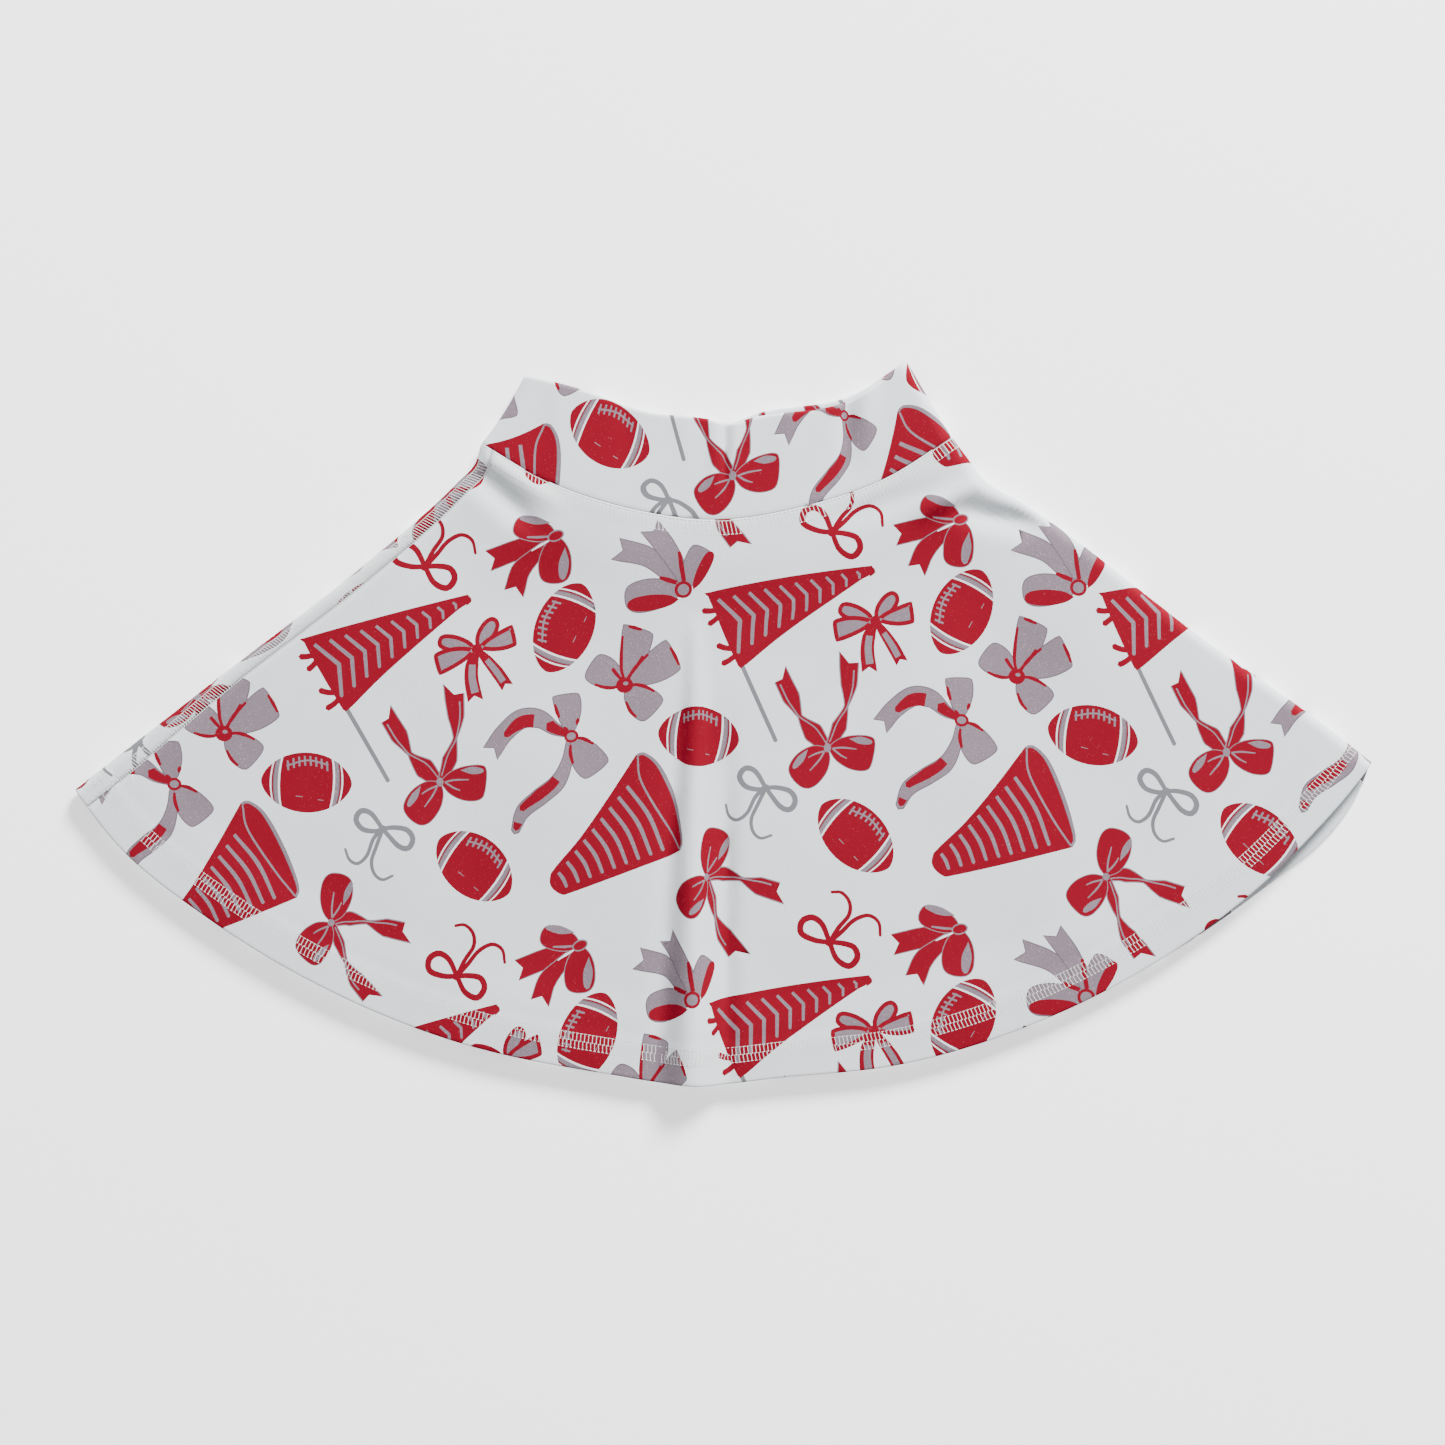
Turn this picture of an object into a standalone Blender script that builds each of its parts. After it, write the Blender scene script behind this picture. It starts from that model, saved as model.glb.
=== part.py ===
"""A child's flared cheer skirt in printed knit, laid flat on its back with the waist towards +Y.

The skirt is a flattened tube: a front and a back panel meet at two side seams, and a doubled
waistband with a loop of elastic inside is sewn round the top. Every layer is laid on one
shared surface, so neighbouring layers stay parallel. Lengths are in millimetres until the
points are placed. +X is to the right of the laid skirt, +Z is up, and the origin is on the
floor under the middle of the whole.
"""
import math

import bmesh
import bpy
import numpy as np

MM = 0.001

# Driving dimensions, in millimetres
CLOTH = 0.7            # brushed knit
ELASTIC = 0.9
THREAD = 0.25          # a row of stitching, as a band
LABEL = 0.25
GAP = 0.3              # air between touching layers
BAND_R = 5.7           # half the height of the laid waistband, and the radius of its folds
SKIRT_R = 4.4          # the same for the skirt below it
SPREAD = 70.0          # the distance below the waist seam where the skirt reaches that radius
SKIRT_LONG = 275.0     # waist seam to hem
LIFT = 0.85            # hem, band and stitched rows stand this much off the floor
HEM_TURN_UP = 19.0
HEM_STITCH = (9.75, 17.25)      # the hem stitching, from the hem edge
WAIST_STITCH = (0.6, 6.0)       # the waist stitching, from the waist seam
WAIST_LOOPER = 2.5              # where its inner thread starts
SEAM_ALLOWANCE = 6.6            # how far the waistband's edge reaches below the waist seam
SIDE_STITCH_TOP = 6.9           # the side stitching starts this far below the waist seam
SIDE_STITCH = (-5.3, -2.4, 0.5)        # edges and middle of the side stitching, from the seam
SIDE_STITCH_RIGHT = (-0.5, 2.4, 5.3)
SIDE_SEAM = 9.5        # from the fold round to the seam, at the waist
SIDE_SEAM_DRIFT = 3.5  # how much further it is at the hem
ELASTIC_WIDE = 33.0
BAND_JOIN = 1.5        # where the waistband's ends meet, counted round the tube as in surface()
ELASTIC_JOIN = 1.42    # where the elastic's ends meet
RIDGE_TALL = 10.0      # the soft fold that stands up at the middle of the front hem
RIDGE_AT = 0.478       # its place and half its width, as shares of the front's width
RIDGE_HALF = 0.027
RIDGE_TOP = 0.15       # where it fades out, as a share of the way from the waist to the hem

# Outlines of the laid skirt, left to right or from the waist out
CENTRE = (0.5, -0.54)  # the middle of the outline, which becomes the origin
WAIST = [(-120, 139), (-91, 122), (-52, 108), (-2, 101), (40, 107.5), (81, 121.5), (114, 142)]
TOP_FRONT = [(-98.5, 172.5), (-73, 166.5), (-38, 154.5), (-8, 151), (3, 148.5), (15, 151.5),
             (66, 161), (91.5, 180)]
TOP_BACK = [(-98.5, 172.5), (-73, 166.5), (-38, 154.5), (-8, 151.3), (3, 149), (15, 153.5),
            (66, 163.5), (91.5, 180)]
HEM_LEFT = [(-322.5, -33.5), (-302, -60), (-254.5, -98.5), (-196.5, -133), (-132, -159),
            (-59, -174.5), (-14, -180.5), (30, -176.5), (89, -170)]
HEM_FRONT = HEM_LEFT + [(157, -149), (227, -112), (283, -67), (323.5, -20)]
HEM_BACK = HEM_LEFT + [(157, -149.5), (227, -113), (286, -69.5), (315, -39), (323.5, -20)]
BAND_LEFT = [(-120, 139), (-115.5, 144.5), (-106.5, 158), (-98.5, 172.5)]
BAND_RIGHT = [(114, 142), (104.5, 158), (91.5, 180)]
FOLD_LEFT = [(-120, 139), (-123, 129), (-132, 119.5), (-178, 79), (-249, 24), (-322.5, -33.5)]
FOLD_RIGHT = [(114, 142), (121, 133), (130, 121), (149, 109.5), (240.5, 41), (306, -6),
              (323.5, -20)]

ACROSS, DOWN = 161, 81          # samples of the shared surface
FOLD_MARGIN = 24.0              # the folds' own facet lines end this far in
MIDDLE_LINES = 16               # evenly spaced facet lines across each side
RIDGE_STEPS = 2                 # facet lines on each side of the ridge's crest
RIDGE_CLEAR = 0.045             # evenly spaced lines this close to the crest are left out
BODY_SHARES = (0.15, 0.3, 0.46, 0.62, 0.78)     # facet rows between the waist and the hem
STEP = 0.02                     # a short step down the tube, to measure distances with
FOLD_STEPS = (45, 90, 135)      # degrees, where a layer turns back on itself


# ---------------------------------------------------------------- the shared surface
def smooth(points, count):
    """Points at equal distances along a smooth curve through the given ones."""
    p = np.array(points, float)
    at = np.concatenate([[0], np.cumsum(np.linalg.norm(np.diff(p, axis=0), axis=1))])
    slope = np.gradient(p, at, axis=0)
    s = np.linspace(0, at[-1], 60 * len(p))
    k = np.clip(np.searchsorted(at, s, "right") - 1, 0, len(p) - 2)
    step = (at[k + 1] - at[k])[:, None]
    f = (s - at[k])[:, None] / step
    curve = ((1 + 2 * f) * (1 - f) ** 2 * p[k] + f * (1 - f) ** 2 * step * slope[k]
             + f * f * (3 - 2 * f) * p[k + 1] - f * f * (1 - f) * step * slope[k + 1])
    run = np.concatenate([[0], np.cumsum(np.linalg.norm(np.diff(curve, axis=0), axis=1))])
    even = np.linspace(0, run[-1], count)
    return np.stack([np.interp(even, run, curve[:, i]) for i in (0, 1)], 1)


def patch(near, far, left, right):
    """Places between four edges, with each row spaced evenly, and the rows' lengths."""
    near, far = smooth(near, ACROSS), smooth(far, ACROSS)
    left, right = smooth(left, DOWN), smooth(right, DOWN)
    u = np.linspace(0, 1, ACROSS)[None, :, None]
    t = np.linspace(0, 1, DOWN)[:, None, None]
    places = ((1 - t) * near[None] + t * far[None] + (1 - u) * left[:, None] + u * right[:, None]
              - (1 - u) * (1 - t) * near[0] - u * (1 - t) * near[-1]
              - (1 - u) * t * far[0] - u * t * far[-1])
    lengths = []
    for row in places:
        run = np.concatenate([[0], np.cumsum(np.linalg.norm(np.diff(row, axis=0), axis=1))])
        even = np.linspace(0, run[-1], ACROSS)
        row[:] = np.stack([np.interp(even, run, row[:, i].copy()) for i in (0, 1)], 1)
        lengths.append(run[-1])
    return places - np.array(CENTRE), np.array(lengths)


SURFACE = {
    ("front", "skirt"): patch(WAIST, HEM_FRONT, FOLD_LEFT, FOLD_RIGHT),
    ("back", "skirt"): patch(WAIST, HEM_BACK, FOLD_LEFT, FOLD_RIGHT),
    ("front", "band"): patch(WAIST, TOP_FRONT, BAND_LEFT, BAND_RIGHT),
    ("back", "band"): patch(WAIST, TOP_BACK, BAND_LEFT, BAND_RIGHT),
}


def ramp(x, low, high):
    f = min(max((x - low) / (high - low), 0.0), 1.0)
    return f * f * (3 - 2 * f)


def look_up(table, t, f):
    """The entry at t down and f across, both 0 to 1."""
    i, j = min(t, 0.99999) * (DOWN - 1), min(max(f, 0.0), 0.99999) * (ACROSS - 1)
    a, b = int(i), int(j)
    i, j = i - a, j - b
    return ((1 - i) * ((1 - j) * table[a, b] + j * table[a, b + 1])
            + i * ((1 - j) * table[a + 1, b] + j * table[a + 1, b + 1]))


def radius(t):
    return SKIRT_R + (BAND_R - SKIRT_R) * (1 - ramp(t * SKIRT_LONG, 0, SPREAD))


def side_of(q):
    return "front" if q % 2 < 1 else "back"


def half_round(side, t):
    """The distance round one side of the tube, from fold to fold."""
    lengths = SURFACE[side, "skirt" if t >= 0 else "band"][1]
    chord = np.interp(abs(t) * (DOWN - 1), np.arange(DOWN), lengths)
    return chord + (math.pi - 2) * radius(t)


def surface(q, t):
    """The tube's middle surface. q is 0 at the left fold, 1 at the right fold and 2 at the
    left fold again, with the front between 0 and 1. t is -1 at the waistband's top edge, 0 at
    the waist seam and 1 at the hem."""
    side = side_of(q)
    a = q % 2 if side == "front" else 2 - q % 2
    r, around = radius(t), half_round(side, t)
    chord = around - (math.pi - 2) * r
    from_left, from_right = a * around, (1 - a) * around
    quarter = math.pi / 2 * r
    if from_left < quarter:
        d, rise = r * (1 - math.cos(from_left / r)), r * math.sin(from_left / r)
    elif from_right < quarter:
        d, rise = chord - r * (1 - math.cos(from_right / r)), r * math.sin(from_right / r)
    else:
        d, rise = from_left - (math.pi / 2 - 1) * r, r
    x, y = look_up(SURFACE[side, "skirt" if t >= 0 else "band"][0], abs(t), d / chord)
    below = t * SKIRT_LONG
    lift = LIFT * max(1 - ramp(below, 14, 40), ramp(below, SKIRT_LONG - 45, SKIRT_LONG - 24))
    floor = CLOTH / 2 + lift
    if side == "front":
        across = min(abs(a - RIDGE_AT) / RIDGE_HALF, 1)
        rises = max(t - RIDGE_TOP, 0) / (1 - RIDGE_TOP)
        ridge = RIDGE_TALL * rises * (1 + math.cos(math.pi * across)) / 2
        return np.array((x, y, floor + r + rise + ridge))
    stitched = ramp(from_right, 4, 9) * (1 - ramp(from_right, 18, 30)) if t > 0 else 0.0
    return np.array((x, y, floor + r - rise + (LIFT - lift) * stitched))


def frame_at(q, t):
    """A place on the surface, the outward direction there and the direction of growing t."""
    dq, dt = 0.5 / half_round(side_of(q), t), 0.5 / SKIRT_LONG
    low, high = max(t - dt, -1.0), min(t + dt, 1.0)
    if t >= 0:
        low = max(low, 0.0)
    else:
        high = min(high, -1e-6)
    along = surface(q + dq, t) - surface(q - dq, t)
    down = surface(q, high) - surface(q, low)
    out = np.cross(down, along)
    out /= np.linalg.norm(out)
    down -= out * down.dot(out)
    return surface(q, t), out, down / np.linalg.norm(down)


# ---------------------------------------------------------------- facet lines round the tube
def left(distance, drifts=False):
    """A line at a distance from the left fold, on the back where it is negative."""
    def q(t):
        d = distance + (SIDE_SEAM_DRIFT * ramp(t, 0.6, 1.0) if drifts else 0)
        return d / half_round("front" if d >= 0 else "back", t)
    return q


def right(distance, drifts=False):
    """A line at a distance from the right fold, on the back where it is negative."""
    def q(t):
        d = distance - (SIDE_SEAM_DRIFT * ramp(t, 0.6, 1.0) if drifts else 0)
        return 1 - d / half_round("front" if d >= 0 else "back", t)
    return q


def middle(share, side):
    """A line at a share of the way across one side, left to right, between the folds."""
    def q(t):
        margin = FOLD_MARGIN / half_round(side, t)
        across = margin + share * (1 - 2 * margin)
        return across if side == "front" else 2 - across
    return q


def back_line(distance, start):
    """A line at a distance from a place on the back, towards the left."""
    return lambda t: start + distance / half_round("back", t)


def ridge_line(steps):
    """A line along the front's soft fold, a number of steps from its crest."""
    return lambda t: RIDGE_AT + steps * RIDGE_HALF / RIDGE_STEPS


def turned(line):
    """The same line, counted once more round the tube."""
    return lambda t: line(t) + 2


def rising(lines, t):
    return sorted(lines, key=lambda line: line(t))


left_stitch = [left(SIDE_SEAM + d, True) for d in SIDE_STITCH]
right_stitch = [right(-SIDE_SEAM - d, True) for d in SIDE_STITCH_RIGHT]
left_seam = [left(SIDE_SEAM + d, True) for d in (-GAP / 2, GAP / 2)]
right_seam = [right(-SIDE_SEAM - d, True) for d in (-GAP / 2, GAP / 2)]
left_fold = [left(d) for d in (-12, -8, -5.2, -2.6, 0, 2)]
right_fold = [right(d) for d in (12, 8, 5.2, 2.6, 0, -2.6, -5.2, -7.6)]

shares = [k / MIDDLE_LINES for k in range(MIDDLE_LINES + 1)]
plain = [middle(k, "front") for k in shares if abs(k - RIDGE_AT) > RIDGE_CLEAR]
ridge = [ridge_line(k) for k in range(-RIDGE_STEPS, RIDGE_STEPS + 1)]
FRONT_LINES = ([left_seam[1], left_stitch[2], left(SIDE_SEAM + 4, True)]
               + rising(plain + ridge, 0.5) + right_fold + [right_stitch[0], right_seam[0]])
BACK_LINES = ([right_seam[1]] + right_stitch[1:] + [middle(k, "back") for k in reversed(shares)]
              + [turned(line) for line in left_fold + left_stitch[:2] + left_seam[:1]])
RING_LINES = FRONT_LINES + BACK_LINES + [turned(FRONT_LINES[0])]


def strip_lines(start):
    """Lines round the waistband for a strip whose ends meet at a place on the back."""
    lines = [line if line(-0.5) > start else turned(line) for line in RING_LINES[:-1]]
    clear = [line for line in lines if start + 0.03 < line(-0.5) < start + 1.97]
    ends = [back_line(d, start) for d in (GAP / 2, 3)]
    closing = [back_line(d, start + 2) for d in (-3, -GAP / 2)]
    return ends + rising(clear, -0.5) + closing


# ---------------------------------------------------------------- rows down the tube
def edge_t(edge, distance, q):
    """The t of a place at a distance from the top edge, the waist seam, upwards or downwards,
    or the hem, or at a share of the way."""
    if edge == "share":
        return distance
    start, step = {"top": (-1, STEP), "above": (-1e-6, -STEP), "seam": (0, STEP),
                   "hem": (1, -STEP)}[edge]
    run = np.linalg.norm(surface(q, start + step) - surface(q, start))
    return start + step * distance / run


def laid(name, lines, rows, thick, colour, roughness, closed=False):
    """A sheet over the shared surface. Each row is (edge, distance, depth, reach): where it
    lies, how far inside the surface, and how far it reaches towards its own edge."""
    bm = bmesh.new()
    bmesh.ops.create_grid(bm, x_segments=len(lines) - 1, y_segments=len(rows) - 1, size=0.5)
    for vert in bm.verts:
        i = round((vert.co.x + 0.5) * (len(lines) - 1))
        j = round((vert.co.y + 0.5) * (len(rows) - 1))
        edge, distance, depth, reach = rows[j]
        nearby = {"top": -0.95, "above": -0.05, "seam": STEP, "hem": 0.95, "share": distance}
        t = edge_t(edge, distance, lines[i](nearby[edge]))
        place, out, down = frame_at(lines[i](t), t)
        towards = -down if edge == "top" else down
        vert.co = (place + out * depth + towards * reach) * MM
    if closed:
        bmesh.ops.remove_doubles(bm, verts=bm.verts, dist=1e-6)
    bmesh.ops.recalc_face_normals(bm, faces=bm.faces)
    mesh = bpy.data.meshes.new(name)
    bm.to_mesh(mesh)
    bm.free()
    mesh.shade_smooth()
    sheet = bpy.data.objects.new(name, mesh)
    sheet.data.materials.append(finish(name, colour, roughness))
    solidify = sheet.modifiers.new("Thickness", "SOLIDIFY")
    solidify.thickness = thick * MM
    solidify.offset = 0
    solidify.use_even_offset = True
    parts.objects.link(sheet)
    return sheet


def finish(name, colour, roughness):
    material = bpy.data.materials.new(name + "_finish")
    material.use_nodes = True
    shader = material.node_tree.nodes["Principled BSDF"]
    shader.inputs["Base Color"].default_value = (*colour, 1)
    shader.inputs["Roughness"].default_value = roughness
    shader.inputs["Metallic"].default_value = 0
    material.diffuse_color = (*colour, 1)
    return material


def fold_rows(edge, r):
    """Rows of a layer that turns back inwards round a radius r at an edge."""
    turns = [math.radians(a) for a in FOLD_STEPS]
    return [(edge, r, r * (math.cos(a) - 1), r * math.sin(a)) for a in turns]


# ---------------------------------------------------------------- the pieces
WHITE_KNIT = (0.72, 0.73, 0.73)
THREAD_WHITE = (0.80, 0.80, 0.79)
ELASTIC_WHITE = (0.66, 0.66, 0.63)
SATIN_WHITE = (0.82, 0.82, 0.80)

HEM_R = (CLOTH + GAP) / 2
ELASTIC_DEPTH = -(CLOTH / 2 + GAP + ELASTIC / 2)
OVERLAP_DEPTH = ELASTIC_DEPTH - ELASTIC / 2 - GAP - THREAD / 2
FACING_DEPTH = OVERLAP_DEPTH - THREAD / 2 - GAP - CLOTH / 2
ALLOWANCE_DEPTH = -(CLOTH + GAP + 0.1)
BAND_TOP_R = -FACING_DEPTH / 2
PROUD = CLOTH / 2 + GAP + THREAD / 2       # from the middle of a cloth to stitching on it


def skirt_panel(name, lines):
    """One half of the skirt, with its hem turned up inside."""
    body = [("seam", d, 0, 0) for d in (GAP / 2, *WAIST_STITCH, SIDE_STITCH_TOP)]
    body += [("share", share, 0, 0) for share in BODY_SHARES]
    body += [("hem", d, 0, 0) for d in (HEM_TURN_UP, *reversed(HEM_STITCH), HEM_R)]
    turn_up = [("hem", d, -2 * HEM_R, 0) for d in (HEM_R, *HEM_STITCH, HEM_TURN_UP)]
    rows = body + fold_rows("hem", HEM_R) + turn_up
    return laid(name, lines, rows, CLOTH, WHITE_KNIT, 0.85)


def waistband():
    """The doubled waistband: up the outside, over the top edge and down behind the elastic."""
    outside = [("above", d, 0, 0) for d in (GAP / 2, 6)]
    outside += [("share", -0.5, 0, 0), ("top", BAND_TOP_R + 1, 0, 0)]
    outside += [("top", BAND_TOP_R, 0, 0)]
    inside = [("top", d, FACING_DEPTH, 0) for d in (BAND_TOP_R, BAND_TOP_R + 1)]
    inside += [("share", -0.5, FACING_DEPTH, 0), ("above", 3.2, FACING_DEPTH, 0)]
    inside += [("seam", WAIST_STITCH[0], ALLOWANCE_DEPTH - 0.25, 0)]
    inside += [("seam", d, ALLOWANCE_DEPTH, 0) for d in (WAIST_LOOPER, SEAM_ALLOWANCE)]
    rows = outside + fold_rows("top", BAND_TOP_R) + inside
    return laid("waistband", strip_lines(BAND_JOIN), rows, CLOTH, WHITE_KNIT, 0.85)


def elastic():
    """The elastic inside the waistband, whose two ends meet at the back."""
    low = BAND_TOP_R + 1 + ELASTIC_WIDE
    rows = [("top", d, ELASTIC_DEPTH, 0) for d in (BAND_TOP_R + 1, low / 2, low)]
    return laid("waistband_elastic", strip_lines(ELASTIC_JOIN), rows, ELASTIC, ELASTIC_WHITE, 0.8)


def stitching(name, lines, rows, closed=False):
    return laid(name, lines, rows, THREAD, THREAD_WHITE, 0.6, closed)


def ring_stitching():
    """The stitching that runs all the way round the waist seam and the hem."""
    waist_inside = ALLOWANCE_DEPTH - PROUD
    hem_inside = -2 * HEM_R - PROUD
    for name, edge, span, depth in (
            ("waist_seam_coverstitch", "seam", WAIST_STITCH, PROUD),
            ("waist_seam_looper_thread", "seam", (WAIST_LOOPER, WAIST_STITCH[1]), waist_inside),
            ("hem_coverstitch", "hem", HEM_STITCH, PROUD),
            ("hem_looper_thread", "hem", HEM_STITCH, hem_inside)):
        stitching(name, RING_LINES, [(edge, d, depth, 0) for d in span], closed=True)


def side_stitching():
    """The flat stitching of the two side seams, outside and inside."""
    for side, lines in (("left", left_stitch), ("right", right_stitch)):
        for kind, depth in (("flatlock", PROUD), ("looper_thread", -PROUD)):
            rows = [("seam", SIDE_STITCH_TOP, depth, 0)]
            rows += [("share", share, depth, 0) for share in BODY_SHARES]
            rows += [("hem", HEM_TURN_UP + GAP, depth, 0)]
            stitching(f"{side}_side_seam_{kind}", lines, rows)


def join_stitching():
    """The stitching that closes the waistband strip and the elastic into loops."""
    lines = [back_line(d, BAND_JOIN) for d in (-2.9, 2.9)]
    rows = [("above", 2, PROUD, 0), ("share", -0.5, PROUD, 0), ("top", 4, PROUD, 0)]
    stitching("waistband_join_stitches", lines, rows)
    lines = [back_line(d, ELASTIC_JOIN) for d in (-5, 5)]
    rows = [("top", d, OVERLAP_DEPTH, 0) for d in (BAND_TOP_R + 3, ELASTIC_WIDE)]
    stitching("elastic_join_stitches", lines, rows)


def labels():
    """A blank care label in the left side seam and a blank size label at the back waist."""
    beside = [left(SIDE_SEAM + d, True) for d in (-2.4, 0.5, 12, 30)]
    depth = -PROUD - THREAD - GAP
    rows = [("share", share, depth, 0) for share in (0.38, 0.46, 0.54)]
    laid("care_label", beside, rows, LABEL, SATIN_WHITE, 0.4)
    depth = ALLOWANCE_DEPTH - PROUD - THREAD - GAP
    rows = [("seam", d, deep, 0) for d, deep in ((WAIST_LOOPER, depth), (9, depth), (28, -1.4))]
    laid("size_label", [back_line(d, BAND_JOIN) for d in (-8, 8)], rows, LABEL, SATIN_WHITE, 0.4)


for thing in list(bpy.data.objects):
    bpy.data.objects.remove(thing, do_unlink=True)
parts = bpy.data.collections.new("cheer_skirt")
bpy.context.scene.collection.children.link(parts)
skirt_panel("front_skirt_panel", FRONT_LINES)
skirt_panel("back_skirt_panel", BACK_LINES)
waistband()
elastic()
ring_stitching()
side_stitching()
join_stitching()
labels()
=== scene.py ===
"""The looks of the cheer skirt: printed brushed knit, real stitching and soft studio light.

The skirt lies on its back with the waist towards +Y. Lengths are in millimetres in the skirt's
own frame until the points of a mesh are placed. Every layer lies on one shared surface, counted
by q round the tube (0 left fold, 1 right fold, 2 left fold again, the front between 0 and 1) and
by t down it (-1 the waistband's top edge, 0 the waist seam, 1 the hem).
"""
import math

import bpy
import numpy as np
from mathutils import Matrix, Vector
from mathutils.geometry import delaunay_2d_cdt
from mathutils.kdtree import KDTree


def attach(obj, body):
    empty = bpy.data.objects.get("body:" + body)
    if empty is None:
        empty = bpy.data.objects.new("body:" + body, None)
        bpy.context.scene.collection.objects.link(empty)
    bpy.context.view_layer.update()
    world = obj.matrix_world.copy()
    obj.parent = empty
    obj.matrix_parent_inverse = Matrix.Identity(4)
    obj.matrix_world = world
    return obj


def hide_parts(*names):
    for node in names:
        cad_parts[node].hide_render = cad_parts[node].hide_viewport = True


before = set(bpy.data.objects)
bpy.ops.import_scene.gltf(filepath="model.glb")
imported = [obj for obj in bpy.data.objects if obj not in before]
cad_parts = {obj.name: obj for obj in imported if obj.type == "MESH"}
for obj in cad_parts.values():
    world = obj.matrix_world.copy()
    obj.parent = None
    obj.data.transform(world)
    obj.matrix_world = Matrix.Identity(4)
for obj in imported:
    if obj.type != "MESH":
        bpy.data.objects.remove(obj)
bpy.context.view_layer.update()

MM = 0.001

# ---------------------------------------------------------------- the frame's driving sizes
CLOTH, ELASTIC, LABEL, GAP = 0.7, 0.9, 0.25, 0.3
BAND_R, SKIRT_R, SPREAD = 5.7, 4.4, 70.0
SKIRT_LONG, BAND_TALL = 275.0, 46.0
LIFT = 0.85
HEM_TURN_UP = 19.0
SEAM_ALLOWANCE = 6.6
SIDE_SEAM, SIDE_SEAM_DRIFT = 9.5, 3.5
BAND_JOIN, ELASTIC_JOIN = 1.5, 1.42
RIDGE_TALL, RIDGE_AT, RIDGE_DRIFT, RIDGE_HALF = 10.0, 0.457, 0.017, 0.027
RIDGE_TOP, RIDGE_SOON, RIDGE_TAKES = 0.16, 0.6, 11.0

CENTRE = (0.5, -0.54)
WAIST = [(-120, 139), (-91, 122), (-52, 108), (-2, 101), (40, 107.5), (81, 121.5), (114, 142)]
TOP_FRONT = [(-98.5, 172.5), (-73, 166.5), (-38, 154.5), (-8, 151), (3, 148.5), (15, 151.5),
             (66, 161), (91.5, 180)]
TOP_BACK = [(-98.5, 172.5), (-73, 166.5), (-38, 154.5), (-8, 151.3), (3, 149), (15, 153.5),
            (66, 163.5), (91.5, 180)]
HEM_LEFT = [(-322.5, -33.5), (-302, -60), (-254.5, -98.5), (-196.5, -133), (-132, -159),
            (-59, -174.5), (-14, -180.5), (30, -176.5), (89, -170)]
HEM_FRONT = HEM_LEFT + [(157, -149), (227, -112), (271, -78), (293, -56), (311, -36),
                        (323.5, -20)]
HEM_BACK = HEM_LEFT + [(157, -149.5), (227, -113), (274, -80), (301, -58), (315, -40),
                       (323.5, -20)]
BAND_LEFT = [(-120, 139), (-115.5, 144.5), (-106.5, 158), (-98.5, 172.5)]
BAND_RIGHT = [(114, 142), (104.5, 158), (91.5, 180)]
FOLD_LEFT = [(-120, 139), (-123, 129), (-132, 119.5), (-178, 79), (-249, 24), (-322.5, -33.5)]
FOLD_RIGHT = [(114, 142), (121, 133), (130, 121), (149, 109.5), (240.5, 41), (306, -6),
              (323.5, -20)]
ACROSS, DOWN = 161, 81

HEM_R = (CLOTH + GAP) / 2
ELASTIC_DEPTH = -(CLOTH / 2 + GAP + ELASTIC / 2)
FACING_DEPTH = -2.75
BAND_TOP_R = -FACING_DEPTH / 2
ALLOWANCE_DEPTH = -(CLOTH + GAP + 0.1)
EDGE_DIP = 0.3         # how far a sewn edge sinks beside its seam
ELASTIC_WIDE, ELASTIC_CORD = 33.0, 2.2
ELASTIC_JOIN_UP = 10.0 # how much higher the elastic's join starts than the band's
BAND_HALF = 230.0      # about half the way round the waistband, for small offsets along it
THREAD_WIDE, THREAD_SIDES, THREAD_FLAT = 0.25, 4, 0.22
PROUD = CLOTH / 2 + GAP + THREAD_WIDE / 2
STITCH, SIDE_STITCH = 2.0, 1.5
HEM_LINES = (9.75, 13.5, 17.25)
WAIST_LINES, WAIST_LOOPER = (0.6, 6.0), 2.5
SIDE_LINES, SIDE_STITCH_TOP = (-5.3, 0.5), 6.9


# ---------------------------------------------------------------- lines and curves
def distances(points):
    """How far along a line each of its points lies."""
    return np.concatenate([[0], np.cumsum(np.linalg.norm(np.diff(points, axis=0), axis=1))])


def evenly(points, count):
    """Points at equal distances along the straight lines through the given ones."""
    run = distances(points)
    even = np.linspace(0, run[-1], count)
    return np.stack([np.interp(even, run, points[:, i]) for i in (0, 1)], 1)


def unit(vectors):
    return vectors / np.maximum(np.linalg.norm(vectors, axis=-1, keepdims=True), 1e-9)


def spline(f, b, c, slope_b, slope_c, step=1.0):
    """A smooth curve that leaves b and reaches c with their slopes; f is the share of the way."""
    return ((1 + 2 * f) * (1 - f) ** 2 * b + f * (1 - f) ** 2 * step * slope_b
            + f * f * (3 - 2 * f) * c - f * f * (1 - f) * step * slope_c)


def smooth(points, count):
    """Points at equal distances along a smooth curve through the given ones."""
    p = np.array(points, float)
    at = distances(p)
    slope = np.gradient(p, at, axis=0)
    s = np.linspace(0, at[-1], 60 * len(p))
    k = np.clip(np.searchsorted(at, s, "right") - 1, 0, len(p) - 2)
    step = (at[k + 1] - at[k])[:, None]
    f = (s - at[k])[:, None] / step
    return evenly(spline(f, p[k], p[k + 1], slope[k], slope[k + 1], step), count)


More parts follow.
